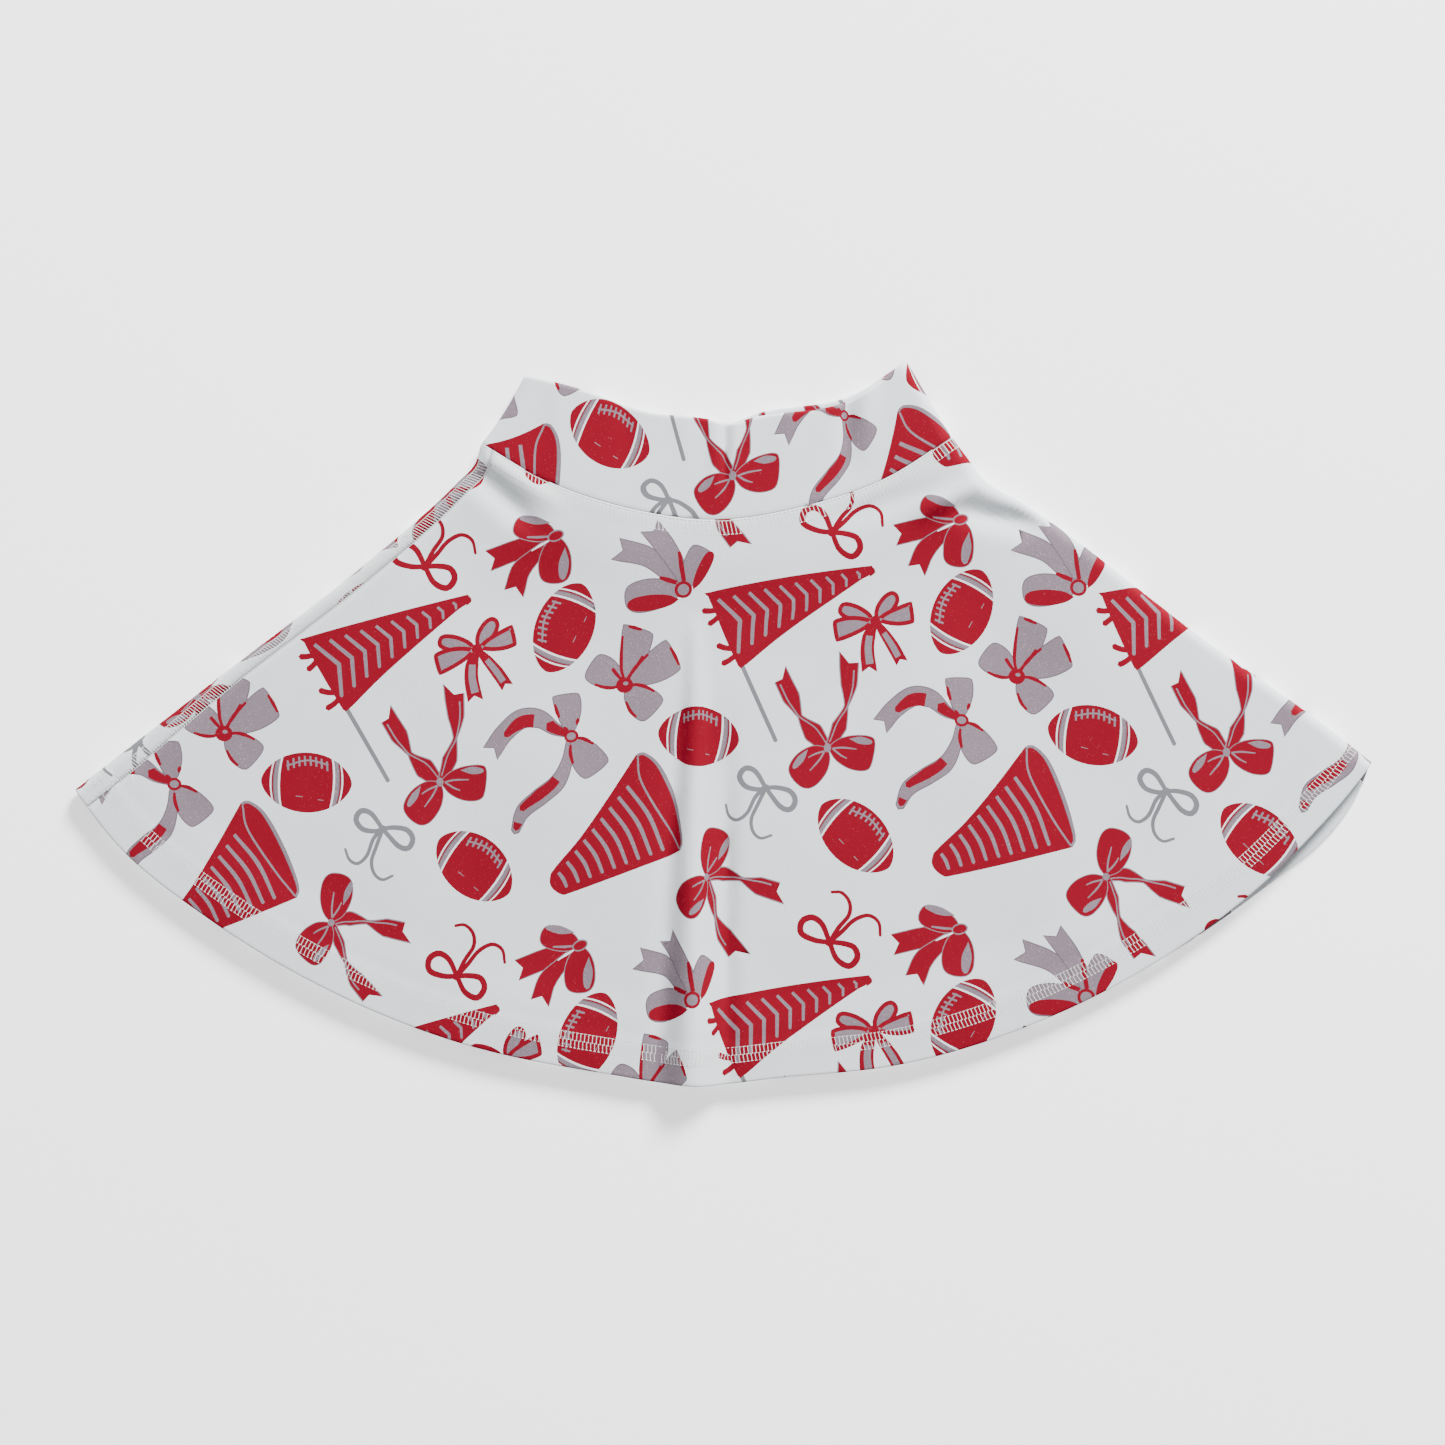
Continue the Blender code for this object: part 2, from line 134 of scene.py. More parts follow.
# ---------------------------------------------------------------- the shared surface
def patch(near, far, left, right):
    """Places between four edges, with each row spaced evenly, and the rows' lengths."""
    near, far = smooth(near, ACROSS), smooth(far, ACROSS)
    left, right = smooth(left, DOWN), smooth(right, DOWN)
    u = np.linspace(0, 1, ACROSS)[None, :, None]
    t = np.linspace(0, 1, DOWN)[:, None, None]
    places = ((1 - t) * near[None] + t * far[None] + (1 - u) * left[:, None] + u * right[:, None]
              - (1 - u) * (1 - t) * near[0] - u * (1 - t) * near[-1]
              - (1 - u) * t * far[0] - u * t * far[-1])
    lengths = np.array([distances(row)[-1] for row in places])
    return np.array([evenly(row, ACROSS) for row in places]) - np.array(CENTRE), lengths


SURFACE = {
    ("front", "skirt"): patch(WAIST, HEM_FRONT, FOLD_LEFT, FOLD_RIGHT),
    ("back", "skirt"): patch(WAIST, HEM_BACK, FOLD_LEFT, FOLD_RIGHT),
    ("front", "band"): patch(WAIST, TOP_FRONT, BAND_LEFT, BAND_RIGHT),
    ("back", "band"): patch(WAIST, TOP_BACK, BAND_LEFT, BAND_RIGHT),
}


def ramp(x, low, high):
    f = np.clip((x - low) / (high - low), 0.0, 1.0)
    return f * f * (3 - 2 * f)


def look_up(table, t, f):
    """The entries at t down and f across, running straight on past the table's edges."""
    i, j = t * (DOWN - 1), f * (ACROSS - 1)
    a = np.clip(np.floor(i), 0, DOWN - 2).astype(int)
    b = np.clip(np.floor(j), 0, ACROSS - 2).astype(int)
    i, j = (i - a)[..., None], (j - b)[..., None]
    return ((1 - i) * ((1 - j) * table[a, b] + j * table[a, b + 1])
            + i * ((1 - j) * table[a + 1, b] + j * table[a + 1, b + 1]))


def radius(t):
    return SKIRT_R + (BAND_R - SKIRT_R) * (1 - ramp(t * SKIRT_LONG, 0, SPREAD))


def chord_of(side, part, t):
    return np.interp(np.abs(t) * (DOWN - 1), np.arange(DOWN), SURFACE[side, part][1])


def half_round(side, t):
    """The distance round one side of the tube, from fold to fold."""
    t = np.asarray(t, float)
    chord = np.where(t >= 0, chord_of(side, "skirt", t), chord_of(side, "band", t))
    return chord + (math.pi - 2) * radius(t)


def crease(x, y, start, end, width, depth, fade=0.35):
    """A soft fold along a line on the laid skirt, which fades out at both ends."""
    ax, ay = start
    dx, dy = end[0] - ax, end[1] - ay
    long = math.hypot(dx, dy)
    along = ((x - ax) * dx + (y - ay) * dy) / long
    beside = ((x - ax) * dy - (y - ay) * dx) / long
    share = along / long
    ends = ramp(share, -fade, fade) * (1 - ramp(share, 1 - fade, 1 + fade))
    return depth * ends * np.exp(-(beside / width) ** 2)


# Soft folds of the laid front: start, end, half width, height (below the plain shape if < 0)
CREASES = [((-126, 127), (-97, 101), 6.0, -4.6), ((-116, 136), (-86, 112), 5.0, 2.6),
           ((131, 121), (100, 106), 4.5, 3.2), ((120, 106), (154, 99), 6.0, -6.0),
           ((105, 118), (62, 103), 5.0, -1.6), ((1, -25), (1, -172), 5.0, -3.8),
           ((-20, 4), (-29, -168), 8.0, -2.4), ((-60, 92), (-150, 20), 16.0, -0.7),
           ((96, 96), (170, 5), 18.0, -0.8)]
# Puckers of the waistband: distance from the front's middle, half width, height
PUCKERS = [(0.5, 1.8, -2.4), (-5, 3, 1.0), (6, 3, 1.0), (61, 4.5, -2.1), (71, 5, 2.0),
           (-18, 6, 0.5), (-48, 5, -0.5), (30, 7, 0.5), (-84, 6, 0.6), (92, 5, -0.5)]


def relief(side, x, y, t):
    """How far the cloth stands above or below the plain shape of the tube."""
    swell = 0.35 * np.sin(x / 31 + 1.3 * np.sin(y / 47)) * np.sin(y / 39 + 0.8)
    swell += 0.22 * np.sin(x / 17 + y / 23 + 1.9)
    height = swell * ramp(t, 0.02, 0.2) * (1 - ramp(t, 0.9, 1.0))
    height = height + 0.45 * ramp(t * SKIRT_LONG, SKIRT_LONG - 20.5, SKIRT_LONG - 17.5)
    if side == "back":
        return height * 0.3
    for start, end, wide, tall in CREASES:
        height = height + crease(x, y, start, end, wide, tall) * ramp(t, 0.0, 0.03)
    for at, wide, tall in PUCKERS:
        height = height + tall * np.exp(-((x - at) / wide) ** 2) * ramp(-t, 0.1, 0.9)
    return height


def ridge_shape(a, t):
    """How fully the front's ridge stands at t, and the place of a across it from -1 to 1."""
    share = np.maximum(t - RIDGE_TOP, 0) / (1 - RIDGE_TOP)
    rises = share ** RIDGE_SOON
    half = RIDGE_HALF * (0.6 + 0.4 * rises)
    return rises, np.clip((a - RIDGE_AT - RIDGE_DRIFT * share) / half, -1, 1)


def surface_on(side, part, q, t):
    table = SURFACE[side, part][0]
    a = q % 2 if side == "front" else 2 - q % 2
    r = radius(t)
    chord = chord_of(side, part, t)
    around = chord + (math.pi - 2) * r
    from_left, from_right = a * around, (1 - a) * around
    quarter = math.pi / 2 * r
    turn_left = np.minimum(from_left, quarter) / r
    turn_right = np.minimum(from_right, quarter) / r
    d = np.where(from_left < quarter, r * (1 - np.cos(turn_left)),
                 np.where(from_right < quarter, chord - r * (1 - np.cos(turn_right)),
                          from_left - (math.pi / 2 - 1) * r))
    rise = r * np.sin(turn_left) * np.sin(turn_right)
    place = look_up(table, np.abs(t), d / chord)
    below = t * SKIRT_LONG
    lift = LIFT * np.maximum(1 - ramp(below, 14, 40), ramp(below, SKIRT_LONG - 45, SKIRT_LONG - 24))
    floor = CLOTH / 2 + lift
    flat = (rise / r) ** 4
    ripple = relief(side, place[..., 0], place[..., 1], t) * flat
    if side == "front":
        rises, across = ridge_shape(a, t)
        ridge = RIDGE_TALL * rises * (1 + np.cos(math.pi * across)) / 2
        z = floor + r + rise + ridge + ripple
    else:
        stitched = np.where(t > 0, ramp(from_right, 4, 9) * (1 - ramp(from_right, 18, 30)), 0.0)
        z = floor + r - rise + (LIFT - lift) * stitched
    return np.concatenate([place, z[..., None]], -1)


def surface(q, t):
    """The tube's middle surface."""
    q, t = np.broadcast_arrays(np.asarray(q, float), np.asarray(t, float))
    places = np.empty(q.shape + (3,))
    for side in ("front", "back"):
        for part in ("skirt", "band"):
            mask = ((q % 2 < 1) == (side == "front")) & ((t >= 0) == (part == "skirt"))
            if mask.any():
                places[mask] = surface_on(side, part, q[mask], t[mask])
    return places


def frames(q, t):
    """Places on the surface, the outward directions there and the directions of growing t."""
    q, t = np.broadcast_arrays(np.asarray(q, float), np.asarray(t, float))
    around = np.where(q % 2 < 1, half_round("front", t), half_round("back", t))
    dq, dt = 0.4 / around, 0.5 / SKIRT_LONG
    low, high = np.maximum(t - dt, -1.0), np.minimum(t + dt, 1.0)
    low = np.where(t >= 0, np.maximum(low, 0.0), low)
    high = np.where(t < 0, np.minimum(high, -1e-6), high)
    along = surface(q + dq, t) - surface(q - dq, t)
    down = surface(q, high) - surface(q, low)
    out = unit(np.cross(down, along))
    return surface(q, t), out, unit(down - out * (down * out).sum(-1, keepdims=True))


def seam_line(side, t, offset):
    """The q of a place beside a side seam, at a distance towards the front of it."""
    from_fold = SIDE_SEAM + SIDE_SEAM_DRIFT * ramp(t, 0.6, 1.0)
    if side == "left":
        return (from_fold + offset) / half_round("front", t)
    return 1 + (from_fold - offset) / half_round("back", t)


# ---------------------------------------------------------------- shapes of the print
WHITE, RED, GREY, DARK, COOL = range(5)
POINT_STEP = 1.5


def curve(points, closed=False):
    """A smooth curve through a few points; a point given twice in a row is a corner."""
    p = [np.array(point, float) for point in points]
    n = len(p)
    pieces = []
    for k in range(n if closed else n - 1):
        b, c = p[k], p[(k + 1) % n]
        a = p[k - 1] if closed or k > 0 else b
        d = p[(k + 2) % n] if closed or k + 2 < n else c
        long = np.linalg.norm(c - b)
        if long < 1e-6:
            continue
        steps = max(2, round(long / POINT_STEP))
        f = np.arange(steps)[:, None] / steps
        slope_b = (c - b) if np.allclose(a, b) else (c - a) / 2
        slope_c = (c - b) if np.allclose(c, d) else (d - b) / 2
        pieces.append(spline(f, b, c, slope_b, slope_c))
    if not closed:
        pieces.append(p[-1][None])
    return np.concatenate(pieces)


def ellipse(cx, cy, long, wide, degrees=0):
    count = max(10, round(math.pi * (long + wide) / 2 / POINT_STEP))
    turn = np.linspace(0, 2 * math.pi, count, endpoint=False)
    return moved(np.stack([long / 2 * np.cos(turn), wide / 2 * np.sin(turn)], 1), (cx, cy), degrees)


def moved(points, to=(0, 0), degrees=0):
    c, s = math.cos(math.radians(degrees)), math.sin(math.radians(degrees))
    return np.asarray(points, float) @ np.array([[c, s], [-s, c]]) + np.array(to, float)


def grown(polygon, amount):
    """The polygon's outline moved outwards, or inwards where the amount is negative."""
    ahead, behind = np.roll(polygon, -1, 0), np.roll(polygon, 1, 0)
    along = unit(ahead - behind)
    area = (polygon[:, 0] * ahead[:, 1] - ahead[:, 0] * polygon[:, 1]).sum()
    outward = np.stack([along[:, 1], -along[:, 0]], 1) * np.sign(area)
    return polygon + outward * amount


# How far a strip's left corner, right corner and middle reach past its end, in half widths
ENDS = {"round": (0, 0, 0.7), "fork": (0.55, 0.35, -0.25), "left": (1.3, 0.15, 0.1),
        "right": (0.15, 1.3, 0.1)}


def band(points, widths, end="round"):
    """A strip along a smooth line; the widths are spread evenly along it. "flat" adds no end."""
    line = curve(points)
    run = distances(line)
    half = np.interp(run / run[-1], np.linspace(0, 1, len(widths)), widths)[:, None] / 2
    along = unit(np.gradient(line, axis=0))
    beside = np.stack([-along[:, 1], along[:, 0]], 1)
    left, right = line + beside * half, line - beside * half
    cap = []
    if end != "flat":
        past_left, past_right, past_middle = (along[-1] * half[-1] * share for share in ENDS[end])
        left[-1] += past_left
        right[-1] += past_right
        cap = [line[-1] + past_middle]
    return np.array([*left, *cap, *right[::-1]])


def wave(points, widths, share_from, share_to):
    """A part of a strip along its line, for a change of colour on a ribbon."""
    line = curve(points)
    first, last = round(share_from * (len(line) - 1)), round(share_to * (len(line) - 1))
    ends = np.interp([share_from, 0.5 * (share_from + share_to), share_to],
                     np.linspace(0, 1, len(widths)), widths)
    return band(line[first:last + 1:2], ends)


ROUND_LOOP = [(0, 0), (0, 0), (0.14, 0.30), (0.4, 0.5), (0.74, 0.5), (0.96, 0.28), (1, -0.06),
              (0.88, -0.38), (0.56, -0.5), (0.2, -0.36)]
SQUARE_LOOP = [(0, 0), (0, 0), (0.22, 0.24), (0.55, 0.4), (0.94, 0.5), (1.01, 0.40), (0.99, -0.32),
               (0.9, -0.46), (0.58, -0.44), (0.25, -0.26)]


def petal(degrees, long, wide, square=0.0):
    """One loop of a bow, from the knot out; square 0 is egg-shaped, 1 has corners."""
    shape = (1 - square) * np.array(ROUND_LOOP) + square * np.array(SQUARE_LOOP)
    return moved(curve(shape * (long, wide), closed=True), (0, 0), degrees)


def rim_stroke(polygon, start, stop, widths, inset=0.7):
    """A stroke just inside an outline, between two shares of its length."""
    line = grown(polygon, -inset)
    return band(line[round(start * len(line)):round(stop * len(line)):2], widths)


def inner(degrees, at, long, wide, turn=0):
    """The small lens inside a loop, where the ribbon's other face shows."""
    lens = [(-long / 2, 0), (-long / 2, 0), (0, wide / 2), (long / 2, wide * 0.2),
            (long / 2.2, -wide / 3), (0, -wide / 2)]
    place = moved([at], (0, 0), degrees)[0]
    return moved(curve(lens, closed=True), place, degrees + turn)


def lens_height(x, half_long, half_tall):
    return half_tall * np.maximum(1 - (x / half_long) ** 2, 0) ** 0.6


def stripe(x, wide, bow, half_long, half_tall):
    """A bowed stripe across a lens shape, cut off at its outline."""
    edges = []
    for at in (x - wide / 2, x + wide / 2):
        share = np.linspace(-1, 1, 9)
        xs = at + bow * (1 - share * share)
        edges.append(np.stack([xs, lens_height(at, half_long, half_tall) * share], 1))
    return np.concatenate([edges[0], edges[1][::-1]])


def football():
    half_long, half_tall = 22.4, 14.3
    turn = np.linspace(0, 2 * math.pi, 56, endpoint=False)
    xs = half_long * np.sign(np.cos(turn)) * np.abs(np.cos(turn)) ** 0.9
    ys = lens_height(xs, half_long, half_tall) * np.sign(np.sin(turn) + 1e-9)
    shapes = [(RED, np.stack([xs, ys], 1))]
    for way in (-1, 1):
        for at, wide, ink in ((12.4, 1.0, WHITE), (13.9, 1.9, GREY), (15.1, 0.5, DARK),
                              (16.5, 0.8, WHITE)):
            shapes.append((ink, stripe(way * at, wide, 1.2 * way, half_long, half_tall)))
    shapes.append((GREY, band([(-10.2, 7.6), (0, 10.6), (10.4, 8.8)], [0.8, 0.8], "flat")))
    for k in range(8):
        x = -9.5 + 2.75 * k
        y = 10.4 - 0.026 * (x - 0.5) ** 2
        shapes.append((GREY, band([(x - 0.2, y + 2.3), (x + 0.3, y - 2.3)], [0.95, 0.95], "flat")))
    return shapes + [(GREY, band([(x, y), (x + long, y - 0.2)], [0.4, 0.3], "flat"))
                     for x, y, long in ((-5, -6.6, 3.5), (6, -7.9, 2.8))]


def bars(start, end, tall, count, bend, lean, thick):
    """A row of bars that bulge towards its end, strongly bent ones with a corner; tall is their
    height at start and end, and thick their width."""
    shapes = []
    for k in range(count):
        share = k / (count - 1)
        half = ((1 - share) * tall[0] + share * tall[1]) / 2
        spot = (start[0] + share * (end[0] - start[0]), start[1] + share * (end[1] - start[1]))
        bulge = [(bend * half, 0)] * (2 if abs(bend) > 0.3 else 1)
        line = [(0, half), *bulge, (0, -half)]
        wide = (1 - share) * thick[0] + share * thick[1]
        shapes.append((GREY, band(moved(line, spot, lean), [0.9 * wide, 1.1 * wide, 0.9 * wide])))
    return shapes


def megaphone():
    cone = [(14.5, 28), (14.5, 28), (-1, 8), (-15, -8.5), (-28, -21), (-31, -25), (-31, -30),
            (-26, -34.5), (-20, -34), (5, -28), (37, -19.5), (37, -19.5), (38.5, -13), (33, 6),
            (24, 24), (18, 29)]
    shapes = [(RED, curve(cone, closed=True))]
    rim = [(15, 27.5), (18.5, 28.2), (25.5, 21.5), (33, 4), (38, -14), (36.5, -19)]
    shapes.append((DARK, band(rim, [1.2, 2.0, 2.0, 1.2])))
    shapes.append((GREY, band(rim, [1.0, 1.5, 1.5, 1.0])))
    shapes.append((GREY, band([(15.3, 27), (16.5, 15), (27, -5), (36, -18.5)], [0.9, 1.1, 0.9])))
    return shapes + bars((-25, -27.5), (17.5, -2.5), (8, 36), 9, 0.12, 27, (1.7, 1.9))


def pennant():
    flag = [(-39, 9.5), (-37.5, 11.8), (0, 17.5), (37, 22), (41, 22), (42.5, 19.3), (39.5, 17),
            (36, 16), (0, -8.5), (-20, -24), (-23, -25), (-25, -22), (-32, -7)]
    shapes = [(COOL, band([(-22.5, -23), (-5, -61)], [2.1, 2.1])), (RED, curve(flag, closed=True))]
    for x, y, turn in ((-33.5, 3.4, 183), (-32.5, 2, 223), (-26, -16, 166), (-24.5, -18.5, 213)):
        tab = moved([(-1, 0), (4.5, 0.5), (8, 0)], (x, y), turn)
        shapes.append((RED, band(tab, [2.4, 2.7, 2.9])))
    return shapes + bars((-29, -5), (34, 18), (28, 3.5), 10, 0.42, 22, (1.9, 1.2))


def ribbon_twist(points, widths, end):
    """A red ribbon with a pale edge, which narrows where it twists."""
    shapes = [(GREY, band(points, [w + 1.1 for w in widths], end))]
    shapes.append((RED, band(points, widths, end)))
    line = curve(points)
    run = np.linspace(0, 1, len(line))
    beside = unit(np.stack([-np.gradient(line[:, 1]), np.gradient(line[:, 0])], 1))
    half = np.interp(run, np.linspace(0, 1, len(widths)), widths)[:, None] / 2
    shift = np.interp(run, [0, 0.38, 0.5, 1], [0.5, 0.5, -0.55, -0.55])[:, None]
    if end == "right":
        shift = -shift
    shapes.append((GREY, band((line + beside * half * shift)[1:-1:3], [0.6, 0.75], "flat")))
    return shapes


def red_loop(degrees, long, wide, lens, square=0.0):
    """A red loop with a pale lens inside it and folds that spread from the knot."""
    loop = petal(degrees, long, wide, square)
    shapes = [(GREY, grown(loop, 0.35)), (RED, loop)]
    at, turn = lens
    shapes.append((GREY, inner(degrees, at, 0.5 * long, 0.2 * wide, turn)))
    for out, beside in ((0.62, 0.1), (0.45, -0.2)):
        end = (out * long, beside * wide)
        fold = moved([(0.1 * long, 0), (0.3 * long, 0.7 * end[1]), end], (0, 0), degrees)
        shapes.append((GREY, band(fold, [0.8, 0.9, 0.5], "flat")))
    return shapes


def bow_up():
    shapes = ribbon_twist([(-1, 0), (-6, 6), (-13, 14), (-17, 22), (-22.5, 33)],
                          [5, 9.5, 1.6, 8, 7.5], "right")
    shapes += ribbon_twist([(1, 1), (5, 9), (8.5, 18.5), (10, 28), (10, 40)],
                           [3.5, 7, 1.2, 7.5, 9.0], "left")
    shapes += red_loop(224, 22.5, 17, ((13, -5.6), 8), 0.2)
    shapes += red_loop(-10, 22.5, 17.5, ((15, 6.2), 2), 0.6)
    return shapes + [(GREY, ellipse(-0.2, 0, 3.6, 4.4))]


def bow_three():
    shapes = ribbon_twist([(1, 0), (8, 1), (15.5, -0.8), (24, -4.5), (35.5, -8.5)],
                          [3.5, 6.5, 1.2, 8, 8.5], "right")
    shapes += ribbon_twist([(0.5, -1), (3, -10), (5, -18), (9, -27), (15.5, -36)],
                           [3, 5, 1.2, 7.5, 8.5], "left")
    shapes += red_loop(72, 23.5, 16, ((15, -5.2), -10), 0.2)
    shapes += red_loop(222, 22, 17, ((14, 5.6), -4), 0.35)
    return shapes + [(GREY, ellipse(0, 0, 3.6, 3.6))]


def thin_bow(ink, loops, tails, thick):
    """A bow of thin cord: each loop and tail is one stroke."""
    shapes = [(ink, band(loop, [thick * 0.9, thick * 1.25, thick * 0.9])) for loop in loops]
    shapes += [(ink, band(tail, [thick * 0.9, thick * 0.8, thick * 0.55])) for tail in tails]
    return shapes + [(ink, ellipse(0, 0, 1.9 * thick, 1.6 * thick))]


def grey_thin():
    loops = [[(0, 0), (-5, 8), (-10, 9.8), (-12.8, 6), (-10, 1.2), (-4, -0.6), (0, 0)],
             [(0, 0), (5.5, 0), (12, -2), (14.5, -6.5), (12, -10.6), (7, -9), (0, 0)]]
    tails = [[(0, 0), (-5, -4), (-9, -11.5), (-14, -14.8), (-18, -12.5), (-19.6, -7)],
             [(0, 0), (-4, -8), (-7, -14.5), (-6.3, -20.5), (-2.5, -24), (3, -22.7)]]
    return thin_bow(COOL, loops, tails, 2.3)


def red_thin():
    loops = [[(0, 0), (-3.5, 8.5), (-8.5, 12), (-13.5, 10), (-13.8, 4.5), (-7, 1), (0, 0)],
             [(0, 0), (6, -0.5), (12, -2.5), (13.6, -7.5), (9.5, -11.5), (3.5, -8), (0, 0)]]
    tails = [[(0, 0), (4.5, 7), (9.5, 13), (9.8, 19), (6, 23.7), (0.9, 24)],
             [(0, 0), (6, 5), (12, 10.5), (19, 12.8), (24, 9.5), (24.8, 3)]]
    return thin_bow(RED, loops, tails, 2.6)


def edged(ink, polygon, rim=DARK, wide=0.55):
    return [(rim, polygon), (ink, grown(polygon, -wide))]


def grey_big():
    shapes = []
    loops = [petal(143, 20, 16, 0.45), petal(71, 28, 16.5, 1.0), petal(26, 28.5, 17.5, 0.9),
             petal(-47, 20, 17, 0.55)]
    for loop in loops:
        shapes += edged(GREY, loop)
    strokes = [(loops[0], 0.06, 0.3), (loops[1], 0.03, 0.33), (loops[1], 0.44, 0.55),
               (loops[2], 0.03, 0.26), (loops[2], 0.44, 0.58), (loops[3], 0.05, 0.3),
               (loops[3], 0.7, 0.86)]
    for loop, start, stop in strokes:
        shapes.append((RED, rim_stroke(loop, start, stop, [1.3, 1.9, 1.2])))
    for line in ([(-5.5, 8.5), (-3.5, 5.5), (-1, 2.5)], [(10, 13), (6, 8), (1.5, 3)]):
        shapes.append((RED, band(line, [1.7, 1.8, 1.3])))
    return shapes + [(RED, ellipse(0, 0, 8.5, 7.5)), (GREY, ellipse(0.6, 0.8, 2.6, 1.8))]


def grey_curl():
    left = [(-1, 1), (-8, 4.5), (-15, 10), (-24, 11), (-33, 5), (-39, -2)]
    lower = [(-1, -2), (-3, -12), (-8, -21), (-17, -27), (-26, -33), (-30.5, -42)]
    left_wide, lower_wide = [3.5, 7, 9.5, 10, 9.5, 9.5], [3.5, 6, 8.5, 9, 8, 4.5]
    shapes = edged(GREY, band(left, left_wide, "fork")) + edged(GREY, band(lower, lower_wide))
    for line, widths, start, stop in (
            (left, [w * 0.75 for w in left_wide], 0.04, 0.24),
            ([(x, y - 1.6) for x, y in left], [0, 3, 6.5, 6, 2.5, 0], 0.42, 0.76),
            ([(x - 1.6, y + 0.4) for x, y in lower], [0, 3, 5, 5.5, 3, 0], 0.36, 0.78),
            (lower, [w * 0.7 for w in lower_wide], 0.9, 1.0)):
        shapes.append((RED, wave(line, widths, start, stop)))
    loops = [petal(93, 20.5, 14.5, 0.9), petal(-58, 22, 17, 0.6)]
    for loop in loops:
        shapes += edged(GREY, loop)
    for loop, start, stop in ((loops[0], 0.05, 0.16), (loops[0], 0.22, 0.34), (loops[0], 0.84, 0.95),
                              (loops[1], 0.05, 0.24), (loops[1], 0.78, 0.95)):
        shapes.append((RED, rim_stroke(loop, start, stop, [1.3, 2.0, 1.2])))
    return shapes + [(RED, ellipse(0, 0, 7.2, 6.2)), (GREY, ellipse(0, 0, 4.6, 3.7))]


def grey_small():
    shapes = []
    for points, widths in (([(0, 0), (-3, -8), (-3.6, -15), (-2.6, -23)], [3, 6.5, 7, 7.5]),
                           ([(0, 0), (5, -6.5), (9.5, -13), (13, -19)], [2.5, 5, 6, 6])):
        shapes.append((RED, band(points, widths, "fork")))
        shapes.append((GREY, band([(0.9 * x, 0.9 * y) for x, y in points[1:]],
                                  [w * 0.5 for w in widths[1:]], "flat")))
    for degrees, long, wide, square in ((160, 19.5, 8.5, 0.2), (193, 21, 11.5, 0.9), (52, 17, 9, 0),
                                        (12, 19.5, 11, 1.0)):
        loop = petal(degrees, long, wide, square)
        shapes += [(RED, loop), (GREY, grown(loop, -2.1))]
    return shapes + [(RED, ellipse(0, 0, 5.2, 5.0))]


def red_left():
    shapes = []
    for points, widths in (([(-1, 0), (-11, -2.5), (-21, -5), (-31, -7.5)], [3, 8.5, 9.5, 9.5]),
                           ([(-2, -1.5), (-11, -8.5), (-18, -15), (-21.5, -23)], [3, 6, 9, 9.5])):
        shapes.append((GREY, band(points, [w + 0.8 for w in widths], "fork")))
        shapes.append((RED, band(points, widths, "fork")))
    for degrees, long, wide, lens in ((158, 21, 11, ((12, -4.2), 6)), (-96, 22.5, 15.5, ((13, 4.4), 0))):
        loop = petal(degrees, long, wide, 0.25)
        shapes += [(GREY, grown(loop, 0.4)), (RED, loop)]
        shapes.append((GREY, inner(degrees, lens[0], 15, 0.22 * wide + 1.4, lens[1])))
    shapes.append((GREY, band([(-2, 0), (-8, 0.2), (-14, 0.9)], [0.8, 1.2, 0.8], "flat")))
    shapes.append((WHITE, band([(-3, -1.6), (-8, -3.8), (-12, -5.8)], [0.6, 1.2, 0.5], "flat")))
    return shapes + [(GREY, ellipse(-0.3, 0, 8.2, 5.4, 15)), (RED, ellipse(-0.3, 0, 6.9, 4.1, 15))]


def grey_up():
    shapes = []
    for points, widths in (([(-1, 1), (-8, 9), (-17, 17), (-30, 21.5)], [4, 8, 10, 11]),
                           ([(0, 2), (-3, 12), (-8, 21), (-14.5, 30)], [3, 8.5, 10, 10])):
        shapes += edged(GREY, band(points, widths, "fork"))
    loops = [petal(184, 28.5, 16, 0.25), petal(60, 22, 13.5, 0.5)]
    for loop in loops:
        shapes += edged(GREY, loop)
    shapes.append((RED, moved(petal(0, 25, 7.5, 0.1), moved([(2.5, 4.3)], (0, 0), 184)[0], 182)))
    shapes.append((RED, moved(petal(0, 20, 5.5, 0.2), moved([(2, -4.2)], (0, 0), 60)[0], 61)))
    for line in ([(-3, 3.5), (-7, 5), (-11, 6.5)], [(0.5, 4), (-0.5, 10), (-1.5, 18)]):
        shapes.append((RED, band(line, [2.0, 2.4, 1.6])))
    return shapes + [(RED, ellipse(0, 0, 8.6, 8.2)), (GREY, ellipse(0, 0, 5.6, 5.4))]


# One repeat of the print: each motif with its place and its turn in degrees
REPEAT = 200.0
MOTIFS = [
    (football, (-12, -6), -9), (football, (69, -57), -42), (football, (122, 53), 63),
    (megaphone, (-61, -41), 0), (pennant, (34, 52), 0), (bow_up, (55, -14), 0),
    (bow_three, (-7, -75), 0), (grey_thin, (24, -33), 0), (red_thin, (56, 91), 0),
    (grey_big, (-50, 22), 0), (grey_curl, (-78, 0), 0), (grey_small, (78, 48), 0),
    (red_left, (121, 98), 0), (grey_up, (182, 66), 0)]
MOTIF_SIZE = 1.02

# How the print's straight grain lies on the laid front, in mm over one repeat from the middle
GRAIN_TALL = 1.02      # the cloth lies drawn out a little from waist to hem
GRAIN_RISE = 11.0      # the rows climb to the right
GRAIN_SAG = 18.0       # and sag towards both sides, less and less further out
GRAIN_FAN = 5.0        # the columns fan out towards the waist
GRAIN_LEAN, GRAIN_SWAY = 4.0, 9.0     # and lean to the right going down, more so at both sides


